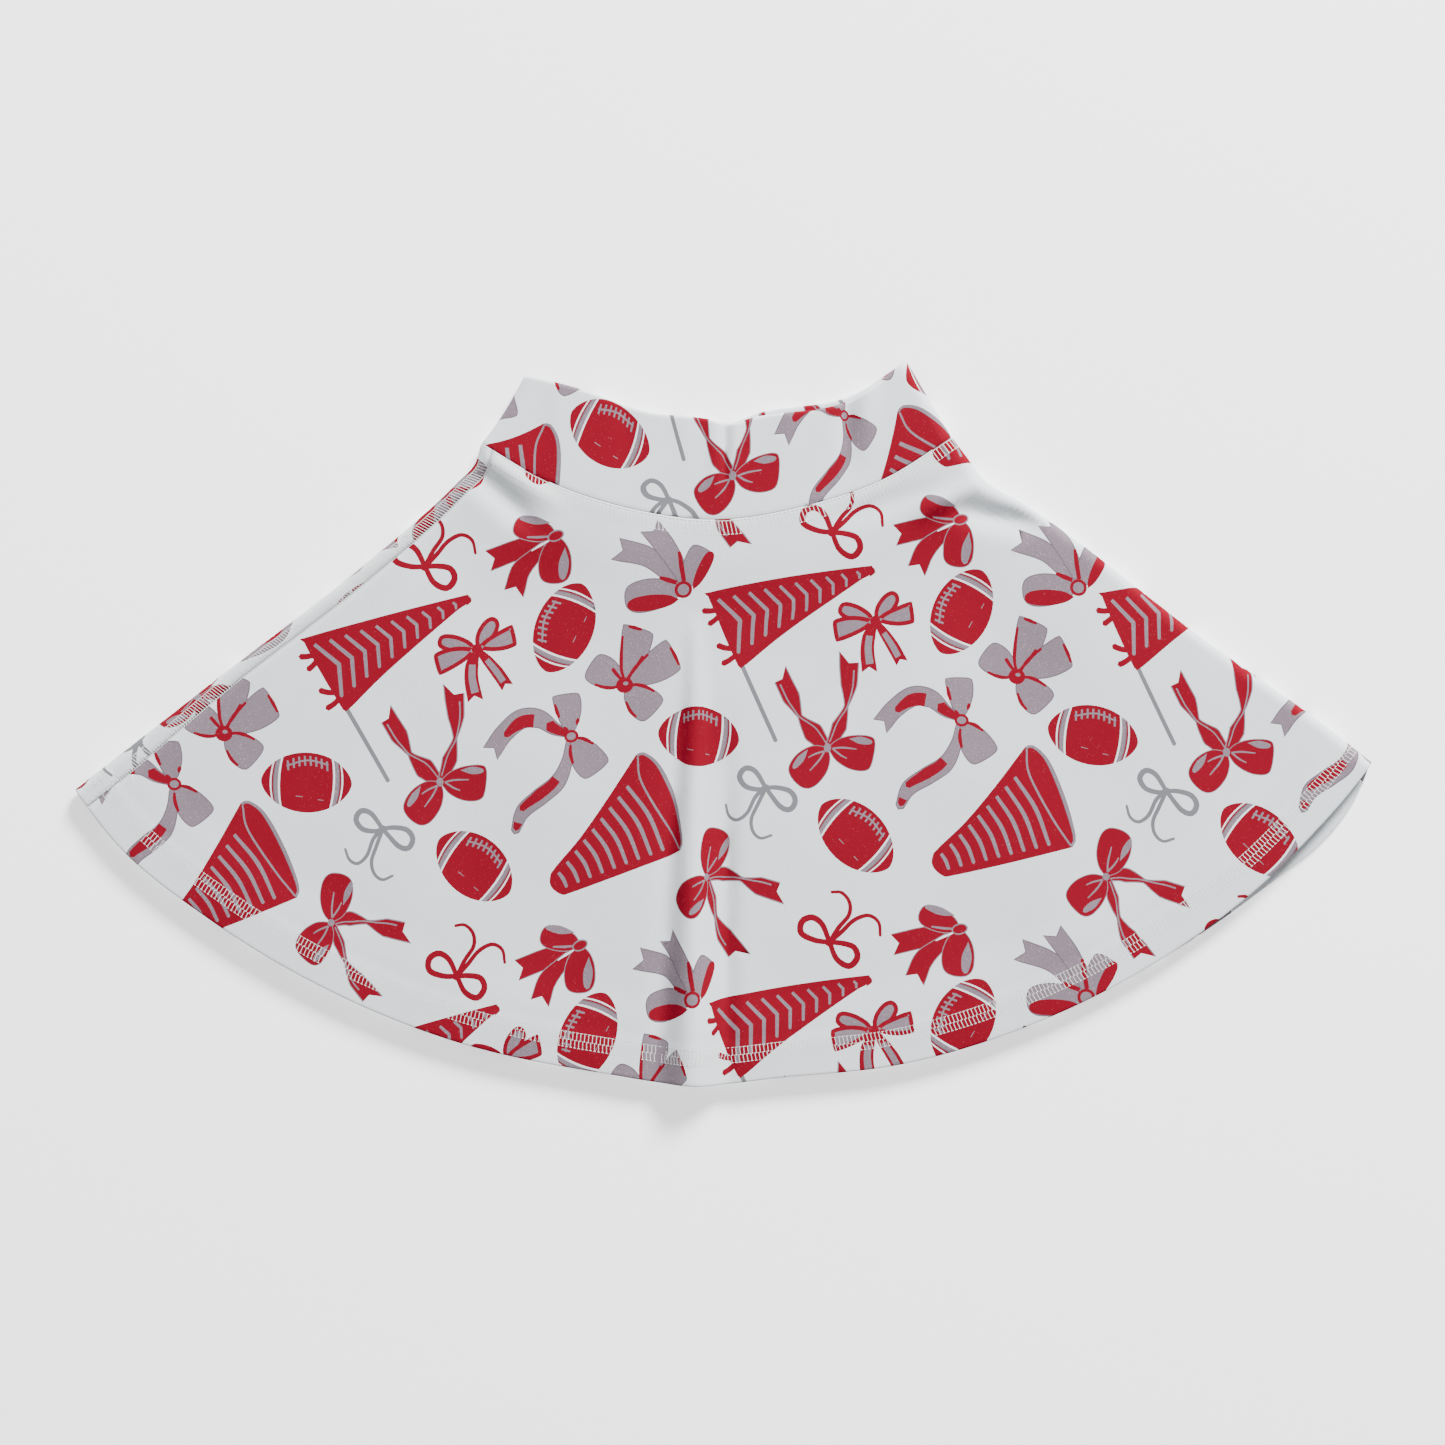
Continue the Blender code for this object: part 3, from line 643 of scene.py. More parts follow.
def grain(u, v):
    """Where the print's straight grain lies on the laid front: it sags towards both sides."""
    a, b = u / REPEAT, v / REPEAT
    x = u + GRAIN_FAN * a * b - (GRAIN_LEAN + GRAIN_SWAY * a * a) * b
    y = GRAIN_TALL * v + GRAIN_RISE * a - GRAIN_SAG * (1 - np.exp(-a * a))
    return np.stack([x - CENTRE[0], y - CENTRE[1]], -1)


def print_on(shift, warp, box):
    """The print's shapes, in drawing order, that reach into a box of the cloth."""
    shapes = []
    low, high = box
    drawn = [(motif(), place, turn) for motif, place, turn in MOTIFS]
    for i in range(-3, 4):
        for j in range(-3, 4):
            for motif, place, turn in drawn:
                to = (place[0] + shift[0] + i * REPEAT, place[1] + shift[1] + j * REPEAT)
                for ink, polygon in motif:
                    spot = moved(MOTIF_SIZE * np.asarray(polygon), to, turn)
                    spot = warp(spot[:, 0], spot[:, 1])
                    if (spot.max(0) > low).all() and (spot.min(0) < high).all():
                        shapes.append((ink, spot))
    return shapes


# ---------------------------------------------------------------- cutting the print into cloth
def inside(points, polygon):
    """Which points lie inside an outline that may cross itself."""
    x, y = points[:, 0], points[:, 1]
    turns = np.zeros(len(points), int)
    for (ax, ay), (bx, by) in zip(polygon, np.roll(polygon, -1, 0)):
        left = (bx - ax) * (y - ay) - (x - ax) * (by - ay)
        turns += (ay <= y) & (by > y) & (left > 0)
        turns -= (ay > y) & (by <= y) & (left < 0)
    return turns != 0


def cut(rows, held_rows, shapes):
    """Triangles over rows of points, with the edges of the shapes cut in and an ink for each."""
    points, edges = [], []
    for k, row in enumerate(rows):
        first = len(points)
        points.extend(row)
        if k in held_rows or k in (0, len(rows) - 1):
            edges.extend((first + n, first + n + 1) for n in range(len(row) - 1))
    starts = np.concatenate([[0], np.cumsum([len(row) for row in rows])])
    for k in range(len(rows) - 1):
        edges.append((starts[k], starts[k + 1]))
        edges.append((starts[k + 1] - 1, starts[k + 2] - 1))
    fixed = set(np.concatenate([[starts[k], starts[k + 1] - 1] for k in range(len(rows))]))
    for k in set(held_rows) | {0, len(rows) - 1}:
        fixed.update(range(starts[k], starts[k + 1]))
    if shapes:
        marks = KDTree(sum(len(polygon) for ink, polygon in shapes))
        for ink, polygon in shapes:
            for x, y in polygon:
                marks.insert((x, y, 0), 0)
        marks.balance()
        keep = [n in fixed or marks.find((*point, 0))[2] > CLEAR for n, point in enumerate(points)]
    else:
        keep = [True] * len(points)
    number = np.cumsum(keep) - 1
    points = [point for point, kept in zip(points, keep) if kept]
    edges = [(int(number[a]), int(number[b])) for a, b in edges]
    for ink, polygon in shapes:
        first = len(points)
        points.extend(polygon)
        edges.extend((first + n, first + (n + 1) % len(polygon)) for n in range(len(polygon)))
    result = delaunay_2d_cdt([Vector((float(x), float(y))) for x, y in points], edges, [], 0, 1e-4,
                             False)
    places = np.array([tuple(v) for v in result[0]])
    triangles = np.array([face for face in result[2] if len(face) == 3])
    outline = np.concatenate([rows[0], [row[-1] for row in rows[1:]], rows[-1][-2::-1],
                              [row[0] for row in rows[-2:0:-1]]])
    middles = places[triangles].mean(1)
    triangles = triangles[inside(middles, outline)]
    middles = places[triangles].mean(1)
    inks = np.zeros(len(triangles), int)
    for ink, polygon in shapes:
        low, high = polygon.min(0), polygon.max(0)
        near = np.flatnonzero(((middles > low) & (middles < high)).all(1))
        if len(near):
            inks[near[inside(middles[near], polygon)]] = ink
    return places, triangles, inks


def unwound(shapes, place_at, samples):
    """The shapes, moved from the flat cloth to the coordinates that place_at starts from."""
    flat = place_at(samples[:, 0], samples[:, 1])
    tree = KDTree(len(flat))
    for n, (x, y) in enumerate(flat):
        tree.insert((x, y, 0), n)
    tree.balance()
    sizes = [len(polygon) for ink, polygon in shapes]
    goal = np.concatenate([polygon for ink, polygon in shapes])
    guess = samples[[tree.find((x, y, 0))[1] for x, y in goal]].copy()
    for _ in range(8):
        here = place_at(guess[:, 0], guess[:, 1])
        by_x = (place_at(guess[:, 0] + 0.5, guess[:, 1]) - here) / 0.5
        by_y = (place_at(guess[:, 0], guess[:, 1] + 0.5) - here) / 0.5
        miss = goal - here
        det = by_x[:, 0] * by_y[:, 1] - by_x[:, 1] * by_y[:, 0]
        det = np.where(np.abs(det) < 0.05, 0.05, det)
        step = np.stack([(miss[:, 0] * by_y[:, 1] - miss[:, 1] * by_y[:, 0]) / det,
                         (miss[:, 1] * by_x[:, 0] - miss[:, 0] * by_x[:, 1]) / det], 1)
        guess += np.clip(step, -12, 12)
    miss = np.linalg.norm(goal - place_at(guess[:, 0], guess[:, 1]), axis=1)
    out, first = [], 0
    for (ink, polygon), size in zip(shapes, sizes):
        if miss[first:first + size].max() < 1.0:
            out.append((ink, guess[first:first + size]))
        first += size
    return out


def closed_sheet(name, places, triangles, at, thick, finishes, slots, rim_slot):
    """A closed sheet: at(x, y, offset) places a point of its outer or its inner face."""
    outer, hidden = (at(places[:, 0], places[:, 1], way * thick / 2) for way in (1, -1))
    used = np.unique(triangles)
    number = np.full(len(places), -1)
    number[used] = np.arange(len(used))
    tris = number[triangles]
    count = len(used)
    directed = np.concatenate([tris[:, [0, 1]], tris[:, [1, 2]], tris[:, [2, 0]]])
    _, index, seen = np.unique(np.sort(directed, 1), axis=0, return_index=True, return_counts=True)
    rim = directed[index[seen == 1]]
    verts = np.concatenate([outer[used], hidden[used]]) * MM
    faces = tris.tolist() + (tris[:, ::-1] + count).tolist()
    faces += [(b, a, a + count, b + count) for a, b in rim.tolist()]
    slots = np.concatenate([slots, np.full(len(tris) + len(rim), rim_slot)])
    return new_piece(name, verts, faces, finishes, slots)


def new_piece(name, verts, faces, finishes, slots=None):
    mesh = bpy.data.meshes.new(name)
    mesh.from_pydata(verts.tolist(), [], faces)
    if slots is not None:
        mesh.polygons.foreach_set("material_index", slots.astype(np.int32))
    mesh.shade_smooth()
    mesh.update()
    for finish in finishes:
        mesh.materials.append(finish)
    piece = bpy.data.objects.new(name, mesh)
    bpy.context.scene.collection.objects.link(piece)
    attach(piece, "root")
    return piece


def cloth_mesh(name, places, triangles, inks, at):
    return closed_sheet(name, places, triangles, at, CLOTH,
                        (KNIT, INK_RED, INK_GREY, INK_DARK, INK_COOL, KNIT_INSIDE), inks, 5)


def plain_sheet(name, xs, ys, at, thick, finish):
    """A sheet over an even grid of its own coordinates."""
    grid = np.stack(np.meshgrid(xs, ys), -1).reshape(-1, 2)
    k = np.arange(len(xs) * len(ys)).reshape(len(ys), len(xs))
    a, b, c, d = (part.ravel() for part in (k[:-1, :-1], k[:-1, 1:], k[1:, 1:], k[1:, :-1]))
    triangles = np.concatenate([np.stack([a, b, c], 1), np.stack([a, c, d], 1)])
    return closed_sheet(name, grid, triangles, at, thick, [finish], np.zeros(len(triangles)), 0)


GRID = 3.0             # the panels' rows and points are about this far apart
FINE_WIDE, FINE_POINTS = 20.0, 22      # but closer in a strip down each panel's right edge
FOLD_CUTS = 6          # rows round the hem's turn
BAND_GRID = 2.2
BAND_FINE, BAND_FINE_POINTS = 14.0, 31 # closer points on each side of the waistband's folds
CLEAR = 0.9            # a grid point this close to the print's edges is left out
HEM_START = SKIRT_LONG - HEM_R


def panel_t(y):
    """The t of a place y down the panel's cloth, which turns back up inside at the hem."""
    turn = HEM_START + math.pi * HEM_R
    return np.where(y < HEM_START, y, np.where(y < turn, HEM_START, HEM_START - (y - turn))) / SKIRT_LONG


def panel_sides(side, t):
    t = np.clip(t, 0, 1)
    if side == "front":
        return seam_line("left", t, GAP / 2), seam_line("right", t, GAP / 2)
    return seam_line("right", t, -GAP / 2), 2 + seam_line("left", t, -GAP / 2)


def panel_width(side, t):
    low, high = panel_sides(side, t)
    return (high - low) * half_round(side, np.clip(t, 0, 1))


def panel_q(side, x, t):
    low, high = panel_sides(side, t)
    return low + (x / panel_width(side, t) + 0.5) * (high - low)


def panel_at(side):
    def at(x, y, offset):
        t = np.maximum(panel_t(y), 0)
        q = panel_q(side, x, t)
        place, out, down = frames(q, t)
        turn = (np.clip((y - HEM_START) / HEM_R, 0, math.pi))[:, None]
        beside = panel_width(side, t) / 2 - np.abs(x)
        dip = (EDGE_DIP * (1 - ramp(np.minimum(y, beside), 0.0, 1.6)))[:, None]
        place = place + out * (HEM_R * (np.cos(turn) - 1) + offset * np.cos(turn) - dip)
        return place + down * (HEM_R * np.sin(turn) + offset * np.sin(turn))
    return at


def panel_cloth(side):
    """Where a place of the panel lies on the flat printed cloth."""
    def place_at(x, y):
        t = y / SKIRT_LONG
        held = np.clip(panel_t(y), 0, 1)
        q = panel_q(side, x, held)
        a = q if side == "front" else 2 - q
        r = radius(held)
        chord = chord_of(side, "skirt", held)
        around = chord + (math.pi - 2) * r
        place = look_up(SURFACE[side, "skirt"][0], t, (a * around - (math.pi / 2 - 1) * r) / chord)
        if side == "front":
            rises, across = ridge_shape(a, held)
            taken = RIDGE_TAKES * rises * (across - np.sin(2 * math.pi * across) / (2 * math.pi)) / 2
            place = place + np.stack([taken, 0 * taken], -1)
        return place
    return place_at


def panel_rows(side):
    end = HEM_START + math.pi * HEM_R + HEM_TURN_UP - HEM_R
    ys = [0, 0.4, 0.9, 1.6, 2.6, 4.2, 6.2]
    ys += list(np.linspace(9, HEM_START - 1.2, round((HEM_START - 10.2) / GRID)))
    held_from = len(ys)
    ys += list(HEM_START + math.pi * HEM_R * np.arange(FOLD_CUTS + 1) / FOLD_CUTS)
    held_to = len(ys)
    ys += list(np.linspace(ys[-1] + 1.2, end, 7))
    rows = []
    hem_count = round((float(panel_width(side, 1.0)) - FINE_WIDE) / GRID)
    for k, y in enumerate(ys):
        wide = float(panel_width(side, float(panel_t(y))))
        count = hem_count if k >= held_from - 1 else round((wide - FINE_WIDE) / GRID)
        fine_from = wide / 2 - FINE_WIDE
        xs = np.concatenate([np.linspace(-wide / 2, fine_from, count, endpoint=False),
                             np.linspace(fine_from, wide / 2, FINE_POINTS)])
        rows.append(np.stack([xs, np.full(len(xs), y)], 1))
    return rows, range(held_from - 1, held_to + 1)


def skirt_panel(side, shift):
    rows, held = panel_rows(side)
    samples = np.concatenate(rows[::3])
    place_at = panel_cloth(side)
    flat = place_at(samples[:, 0], samples[:, 1])
    shapes = print_on(shift, grain, (flat.min(0) - 4, flat.max(0) + 4))
    shapes = unwound(shapes, place_at, samples)
    shapes = [shape for shape in shapes if reaches(shape[1], rows)]
    places, triangles, inks = cut(rows, held, shapes)
    piece = cloth_mesh(f"{side}_panel_printed_knit", places, triangles, inks, panel_at(side))
    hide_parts(f"{side}_skirt_panel")
    return piece


def reaches(polygon, rows):
    """Whether an outline reaches into the rows of a sheet."""
    ys = [row[0, 1] for row in rows]
    y = np.clip(polygon[:, 1], ys[0], ys[-1])
    low = np.interp(y, ys, [row[0, 0] for row in rows])
    high = np.interp(y, ys, [row[-1, 0] for row in rows])
    within = (polygon[:, 0] > low - 1) & (polygon[:, 0] < high + 1)
    return within.any() and polygon[:, 1].max() > ys[0] and polygon[:, 1].min() < ys[-1]


# ---------------------------------------------------------------- the waistband
BAND_START = -1 + BAND_TOP_R / BAND_TALL
OUTSIDE_LONG = -BAND_START * BAND_TALL
TOP_TURN = math.pi * BAND_TOP_R


def strip_scale():
    """Distances round the waistband at half its height, from the front's middle."""
    q = np.linspace(BAND_JOIN, BAND_JOIN + 2, 801)
    places = surface(q, np.full(len(q), -0.5))
    run = distances(places)
    return q, run - np.interp(2.5, q, run)


def band_at(x, y, offset):
    """y runs up the outside from the seam, over the top edge and down behind the elastic."""
    q = np.interp(x, STRIP[1], STRIP[0])
    back = y - OUTSIDE_LONG - TOP_TURN
    t = np.where(back < 0, -np.clip(y, 1e-5, OUTSIDE_LONG) / BAND_TALL, BAND_START + back / BAND_TALL)
    t = np.where(t > 0, t * BAND_TALL / SKIRT_LONG, t)
    place, out, down = frames(q, t)
    turn = np.clip((y - OUTSIDE_LONG) / BAND_TOP_R, 0, math.pi)[:, None]
    towards = ramp(back, OUTSIDE_LONG - 5, OUTSIDE_LONG + 0.8)[:, None]
    deep = (ALLOWANCE_DEPTH - FACING_DEPTH) * towards
    dip = (EDGE_DIP * (1 - ramp(y, 0.0, 1.6)))[:, None]
    place = place + out * (BAND_TOP_R * (np.cos(turn) - 1) + offset * np.cos(turn) + deep - dip)
    return place - down * (BAND_TOP_R * np.sin(turn) + offset * np.sin(turn))


EASE_ALONG, EASE_UP = 10.0, 3.0        # how far the strip is eased along and up at its right end
EASE_DRAWN = 0.02                      # the share that its left end is drawn in by
EASE_DIP, EASE_BUMP = 1.8, 4.0         # a small dip at the middle, and a rise left of it


def eased(u, v):
    """The print lies a little off its grain where the strip was eased onto the seam."""
    along = EASE_ALONG * ramp(u, 45, 100) + EASE_DRAWN * np.minimum(u, 0)
    up = EASE_UP * ramp(u, 20, 75) - EASE_DIP * np.exp(-((u - 5) / 20) ** 2)
    up += EASE_BUMP * np.exp(-((u + 25) / 15) ** 2 - ((v - 2) / 12) ** 2)
    return np.stack([u - along, v + up], -1)


def waistband():
    end = OUTSIDE_LONG + TOP_TURN + OUTSIDE_LONG + SEAM_ALLOWANCE
    ys = [GAP / 2, 0.5, 1.0, 1.7, 2.7]
    ys += list(np.linspace(4.5, OUTSIDE_LONG - 1.5, round((OUTSIDE_LONG - 6) / BAND_GRID)))
    held_from = len(ys)
    cuts = 2 * FOLD_CUTS
    ys += list(OUTSIDE_LONG + TOP_TURN * np.arange(cuts + 1) / cuts)
    held_to = len(ys)
    ys += list(np.linspace(ys[-1] + 1.5, end, round((end - ys[-1]) / 2.4)))
    low, high = STRIP[1][0] + GAP / 2, STRIP[1][-1] - GAP / 2
    xs = np.linspace(low, high, round((high - low) / BAND_GRID))
    folds = [float(np.interp(q, STRIP[0], STRIP[1])) for q in (2.0, 3.0)]
    clear = [x for x in xs if min(abs(x - fold) for fold in folds) > BAND_FINE]
    fine = [x for fold in folds
            for x in np.linspace(fold - BAND_FINE, fold + BAND_FINE, BAND_FINE_POINTS)]
    xs = np.array(sorted(clear + fine))
    rows = [np.stack([xs, np.full(len(xs), y)], 1) for y in ys]
    box = (np.array((low, 0)), np.array((high, end)))
    shapes = print_on(BAND_SHIFT, eased, box)
    places, triangles, inks = cut(rows, range(held_from, held_to), shapes)
    piece = cloth_mesh("waistband_printed_knit", places, triangles[:, ::-1], inks, band_at)
    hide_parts("waistband")
    return piece


# ---------------------------------------------------------------- elastic and labels
def elastic():
    """The woven elastic inside the waistband, with raised cords along it."""
    def at(x, y, offset):
        place, out, _ = frames(ELASTIC_JOIN + x, -1 + y / BAND_TALL)
        cords = 0.07 * np.cos(2 * math.pi * y / ELASTIC_CORD) * np.sign(offset)
        return place + out * (ELASTIC_DEPTH + offset + cords)[:, None]

    top = BAND_TOP_R + 1
    ends = GAP / 2 / BAND_HALF
    ys = np.linspace(top, top + ELASTIC_WIDE, 8 * round(ELASTIC_WIDE / ELASTIC_CORD) + 1)
    piece = plain_sheet("waistband_woven_elastic", np.linspace(ends, 2 - ends, 330), ys, at,
                        ELASTIC, ELASTIC_WEAVE)
    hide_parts("waistband_elastic")
    return piece


def care_label():
    """A blank satin label sewn into the left side seam, curling a little off the cloth."""
    def at(x, y, offset):
        t = y / SKIRT_LONG
        place, out, _ = frames(seam_line("left", t, x), t)
        curl = 0.9 * ramp(x, 8, 34) + 0.12 * np.sin(y / 5) * ramp(x, 0, 20)
        return place + out * (-PROUD - THREAD_WIDE - GAP - curl + offset)[:, None]

    middle = 0.46 * SKIRT_LONG
    return label("care_label_blank_satin", np.linspace(-2.4, 30, 28),
                 np.linspace(middle - 22, middle + 22, 36), at, "care_label")


def size_label():
    """A blank satin label caught in the waist seam at the centre back."""
    def at(x, y, offset):
        t = y / SKIRT_LONG
        place, out, _ = frames(BAND_JOIN + x / half_round("back", t), t)
        deep = ALLOWANCE_DEPTH - PROUD - THREAD_WIDE - GAP
        deep = deep + (-1.4 - deep) * ramp(y, 9, 28)
        return place + out * (deep + offset)[:, None]

    return label("size_label_blank_satin", np.linspace(-8, 8, 15), np.linspace(2.5, 28, 24), at,
                 "size_label")


def label(name, xs, ys, at, node):
    piece = plain_sheet(name, xs, ys, at, LABEL, SATIN)
    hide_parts(node)
    return piece


# ---------------------------------------------------------------- stitching, thread by thread
def ring_q(t, pitch):
    """The q of each stitch of a row round the tube."""
    q = np.linspace(0, 2, 4001)
    places = surface(q, np.full(len(q), t))
    run = distances(places)
    return np.interp(np.linspace(0, run[-1], round(run[-1] / pitch) + 1), run, q)


def ring_line(t, stitches):
    """A line round the tube as a function of the stitch number."""
    def line(s):
        return np.interp(s, np.arange(len(stitches)), stitches), np.full(np.shape(s), t)
    return line


def side_line(side, offset):
    """A line down beside a side seam as a function of the stitch number."""
    def line(s):
        t = (SIDE_STITCH_TOP + s * SIDE_STITCH) / SKIRT_LONG
        return seam_line(side, t, offset), t
    return line


def back_row(start, offset):
    """A line up a join at the back as a function of the stitch number."""
    def line(s):
        t = -(2 + s * STITCH) / BAND_TALL
        return start + offset / BAND_HALF + 0 * t, t
    return line


def needle_thread(line, count, depth, way):
    """A row of stitches that dive into the cloth at every needle hole."""
    s = np.arange(count * 3 + 1) / 3
    q, t = line(s)
    place, out, _ = frames(q, t)
    height = np.where(np.arange(len(s)) % 3 == 0, -0.14, 0.08)
    return [(place + out * (depth + way * height)[:, None])[None]], [out[None] * way], 0.9


def cover_threads(line_a, line_b, count, lean, depth, way, bulge=0.24):
    """Threads that cross from one line of needle holes to the next, one for each stitch."""
    k = np.arange(count)[:, None]
    f = np.linspace(0, 1, 5)[None]
    qa, ta = line_a(k + lean[0] + 0 * f)
    qb, tb = line_b(k + lean[1] + 0 * f)
    q, t = (1 - f) * qa + f * qb, (1 - f) * ta + f * tb
    place, out, _ = frames(q, t)
    height = np.array([-0.05, 0.9, 1.0, 0.9, -0.05]) * bulge
    return [place + out * (depth + way * height)[None, :, None]], [out * way], 1.0


def zigzag_thread(line_a, line_b, count, depth, way):
    """One thread that goes to and fro between two lines."""
    s = np.arange(count * 6 + 1) / 6
    share = np.abs((s * 2) % 2 - 1)
    share = ramp(share, 0.12, 0.88)
    qa, ta = line_a(s)
    qb, tb = line_b(s)
    place, out, _ = frames((1 - share) * qa + share * qb, (1 - share) * ta + share * tb)
    return [(place + out * (depth + way * 0.14))[None]], [out[None] * way], 1.0


def threads(name, rows, thick, node):
    """Rows of thread as one piece of thin flattened tubes, closed at their ends."""
    verts, faces, first = [], [], 0
    for paths, outs, share in rows:
        for path, out in zip(paths, outs):
            along = unit(np.gradient(path, axis=1))
            beside = unit(np.cross(along, out))
            up = np.cross(beside, along)
            turn = 2 * math.pi * np.arange(THREAD_SIDES) / THREAD_SIDES
            ring = (np.cos(turn)[:, None] * beside[:, :, None]
                    + THREAD_FLAT * np.sin(turn)[:, None] * up[:, :, None])
            ring = path[:, :, None] + thick * share / 2 * ring
            many, long = path.shape[:2]
            verts.append(ring.reshape(-1, 3))
            n = (first + np.arange(many * long * THREAD_SIDES)).reshape(many, long, THREAD_SIDES)
            a, b = n[:, :-1], np.roll(n, -1, 2)[:, :-1]
            c, d = np.roll(n, -1, 2)[:, 1:], n[:, 1:]
            faces += np.stack([a, d, c, b], -1).reshape(-1, 4).tolist()
            faces += n[:, 0].tolist() + n[:, -1, ::-1].tolist()
            first += many * long * THREAD_SIDES
    piece = new_piece(name, np.concatenate(verts) * MM, faces, [THREAD])
    piece.data.shade_flat()
    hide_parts(node)
    return piece


def hem_stitching():
    """Three needle lines with a cover thread in two rows of ticks between them."""
    stitches = ring_q(1 - HEM_LINES[1] / SKIRT_LONG, STITCH)
    count = len(stitches) - 1
    low, middle, high = (ring_line(1 - d / SKIRT_LONG, stitches) for d in HEM_LINES)
    face = CLOTH / 2
    rows = [needle_thread(line, count, face, 1) for line in (low, middle, high)]
    rows += [cover_threads(high, middle, count, (0.4, 0.6), face, 1, 0.06)]
    rows += [cover_threads(middle, low, count, (0.2, 0.5), face, 1, 0.06)]
    threads("hem_cover_threads", rows, 0.3, "hem_coverstitch")
    face = -2 * HEM_R - CLOTH / 2
    rows = [zigzag_thread(a, b, count, face, -1) for a, b in ((low, middle), (middle, high))]
    threads("hem_looper_loops", rows, 0.28, "hem_looper_thread")


def waist_stitching():
    """Two needle lines below the waist seam with upright cover threads between them."""
    stitches = ring_q(WAIST_LINES[0] / SKIRT_LONG, STITCH)
    count = len(stitches) - 1
    high, low = (ring_line(d / SKIRT_LONG, stitches) for d in WAIST_LINES)
    face = CLOTH / 2
    rows = [needle_thread(line, count, face, 1) for line in (low, high)]
    rows += [cover_threads(high, low, count, (0.5, 0.6), face, 1, 0.04)]
    threads("waist_cover_threads", rows, 0.34, "waist_seam_coverstitch")
    face = ALLOWANCE_DEPTH - CLOTH / 2
    inner_high = ring_line(WAIST_LOOPER / SKIRT_LONG, stitches)
    rows = [zigzag_thread(inner_high, low, count, face, -1)]
    threads("waist_looper_loops", rows, 0.28, "waist_seam_looper_thread")


def side_stitching():
    """The flat comb of slanted threads over each side seam, and its loops inside."""
    tall = SKIRT_LONG - HEM_TURN_UP - GAP - SIDE_STITCH_TOP
    count = int(tall / SIDE_STITCH)
    for side, offsets in (("left", SIDE_LINES), ("right", [-d for d in SIDE_LINES])):
        far, near = (side_line(side, d) for d in offsets)
        face = CLOTH / 2
        rows = [needle_thread(line, count, face, 1) for line in (far, near)]
        rows += [cover_threads(far, near, count, (1.0, 0.0), face, 1, 0.08)]
        threads(f"{side}_side_comb_threads", rows, 0.3, f"{side}_side_seam_flatlock")
        rows = [zigzag_thread(far, near, count, -face, -1)]
        threads(f"{side}_side_looper_loops", rows, 0.28, f"{side}_side_seam_looper_thread")


def join_stitching():
    """The zigzags that close the waistband strip and the elastic into loops."""
    count = int((BAND_TALL - 6) / STITCH)
    sides = [back_row(BAND_JOIN, d) for d in (-2.6, 2.6)]
    rows = [zigzag_thread(*sides, count, CLOTH / 2, 1)]
    rows += [needle_thread(line, count, CLOTH / 2, 1) for line in sides]
    threads("waistband_join_zigzag", rows, 0.3, "waistband_join_stitches")
    count = int((ELASTIC_WIDE - 8) / STITCH)
    sides = [back_row(ELASTIC_JOIN, d) for d in (-4.5, 4.5)]
    higher = ELASTIC_JOIN_UP / BAND_TALL
    lifted = [lambda s, line=line: (line(s)[0], line(s)[1] - higher) for line in sides]
    rows = [zigzag_thread(*lifted, count, ELASTIC_DEPTH - ELASTIC / 2, -1)]
    threads("elastic_join_zigzag", rows, 0.3, "elastic_join_stitches")


# ---------------------------------------------------------------- materials
def linear(value):
    return tuple(((c / 255 + 0.055) / 1.055) ** 2.4 if c > 10 else c / 255 / 12.92 for c in value)


class Finish:
    """A material's node tree with short ways to add to it."""

    def __init__(self, name):
        self.material = bpy.data.materials.new(name)
        self.material.use_nodes = True
        self.tree = self.material.node_tree
        self.shader = self.tree.nodes["Principled BSDF"]
        self.place = self.tree.nodes.new("ShaderNodeTexCoord").outputs["Object"]

    def node(self, kind, **values):
        made = self.tree.nodes.new(kind)
        for key, value in values.items():
            if key in made.inputs:
                made.inputs[key].default_value = value
            else:
                setattr(made, key, value)
        return made

    def link(self, out, into):
        self.tree.links.new(out, into)

    def set(self, values):
        for name, value in values.items():
            self.shader.inputs[name].default_value = value

    def noise(self, scale, detail=2.0, stretch=(1, 1, 1)):
        mapping = self.node("ShaderNodeMapping")
        mapping.inputs["Scale"].default_value = stretch
        self.link(self.place, mapping.inputs["Vector"])
        made = self.node("ShaderNodeTexNoise", Scale=scale, Detail=detail)
        self.link(mapping.outputs["Vector"], made.inputs["Vector"])
        return made.outputs["Fac"]

    def between(self, factor, low, high, colours):
        """A colour that runs from the first to the second as the factor goes low to high."""
        stops = self.node("ShaderNodeValToRGB")
        ramp_ = stops.color_ramp
        ramp_.elements[0].position, ramp_.elements[1].position = low, high
        ramp_.elements[0].color, ramp_.elements[1].color = [(*c, 1) for c in colours]
        self.link(factor, stops.inputs["Fac"])
        return stops.outputs["Color"]

    def bump(self, height, strength, distance, after=None):
        made = self.node("ShaderNodeBump", Strength=strength, Distance=distance)
        self.link(height, made.inputs["Height"])
        if after is not None:
            self.link(after, made.inputs["Normal"])
        return made.outputs["Normal"]


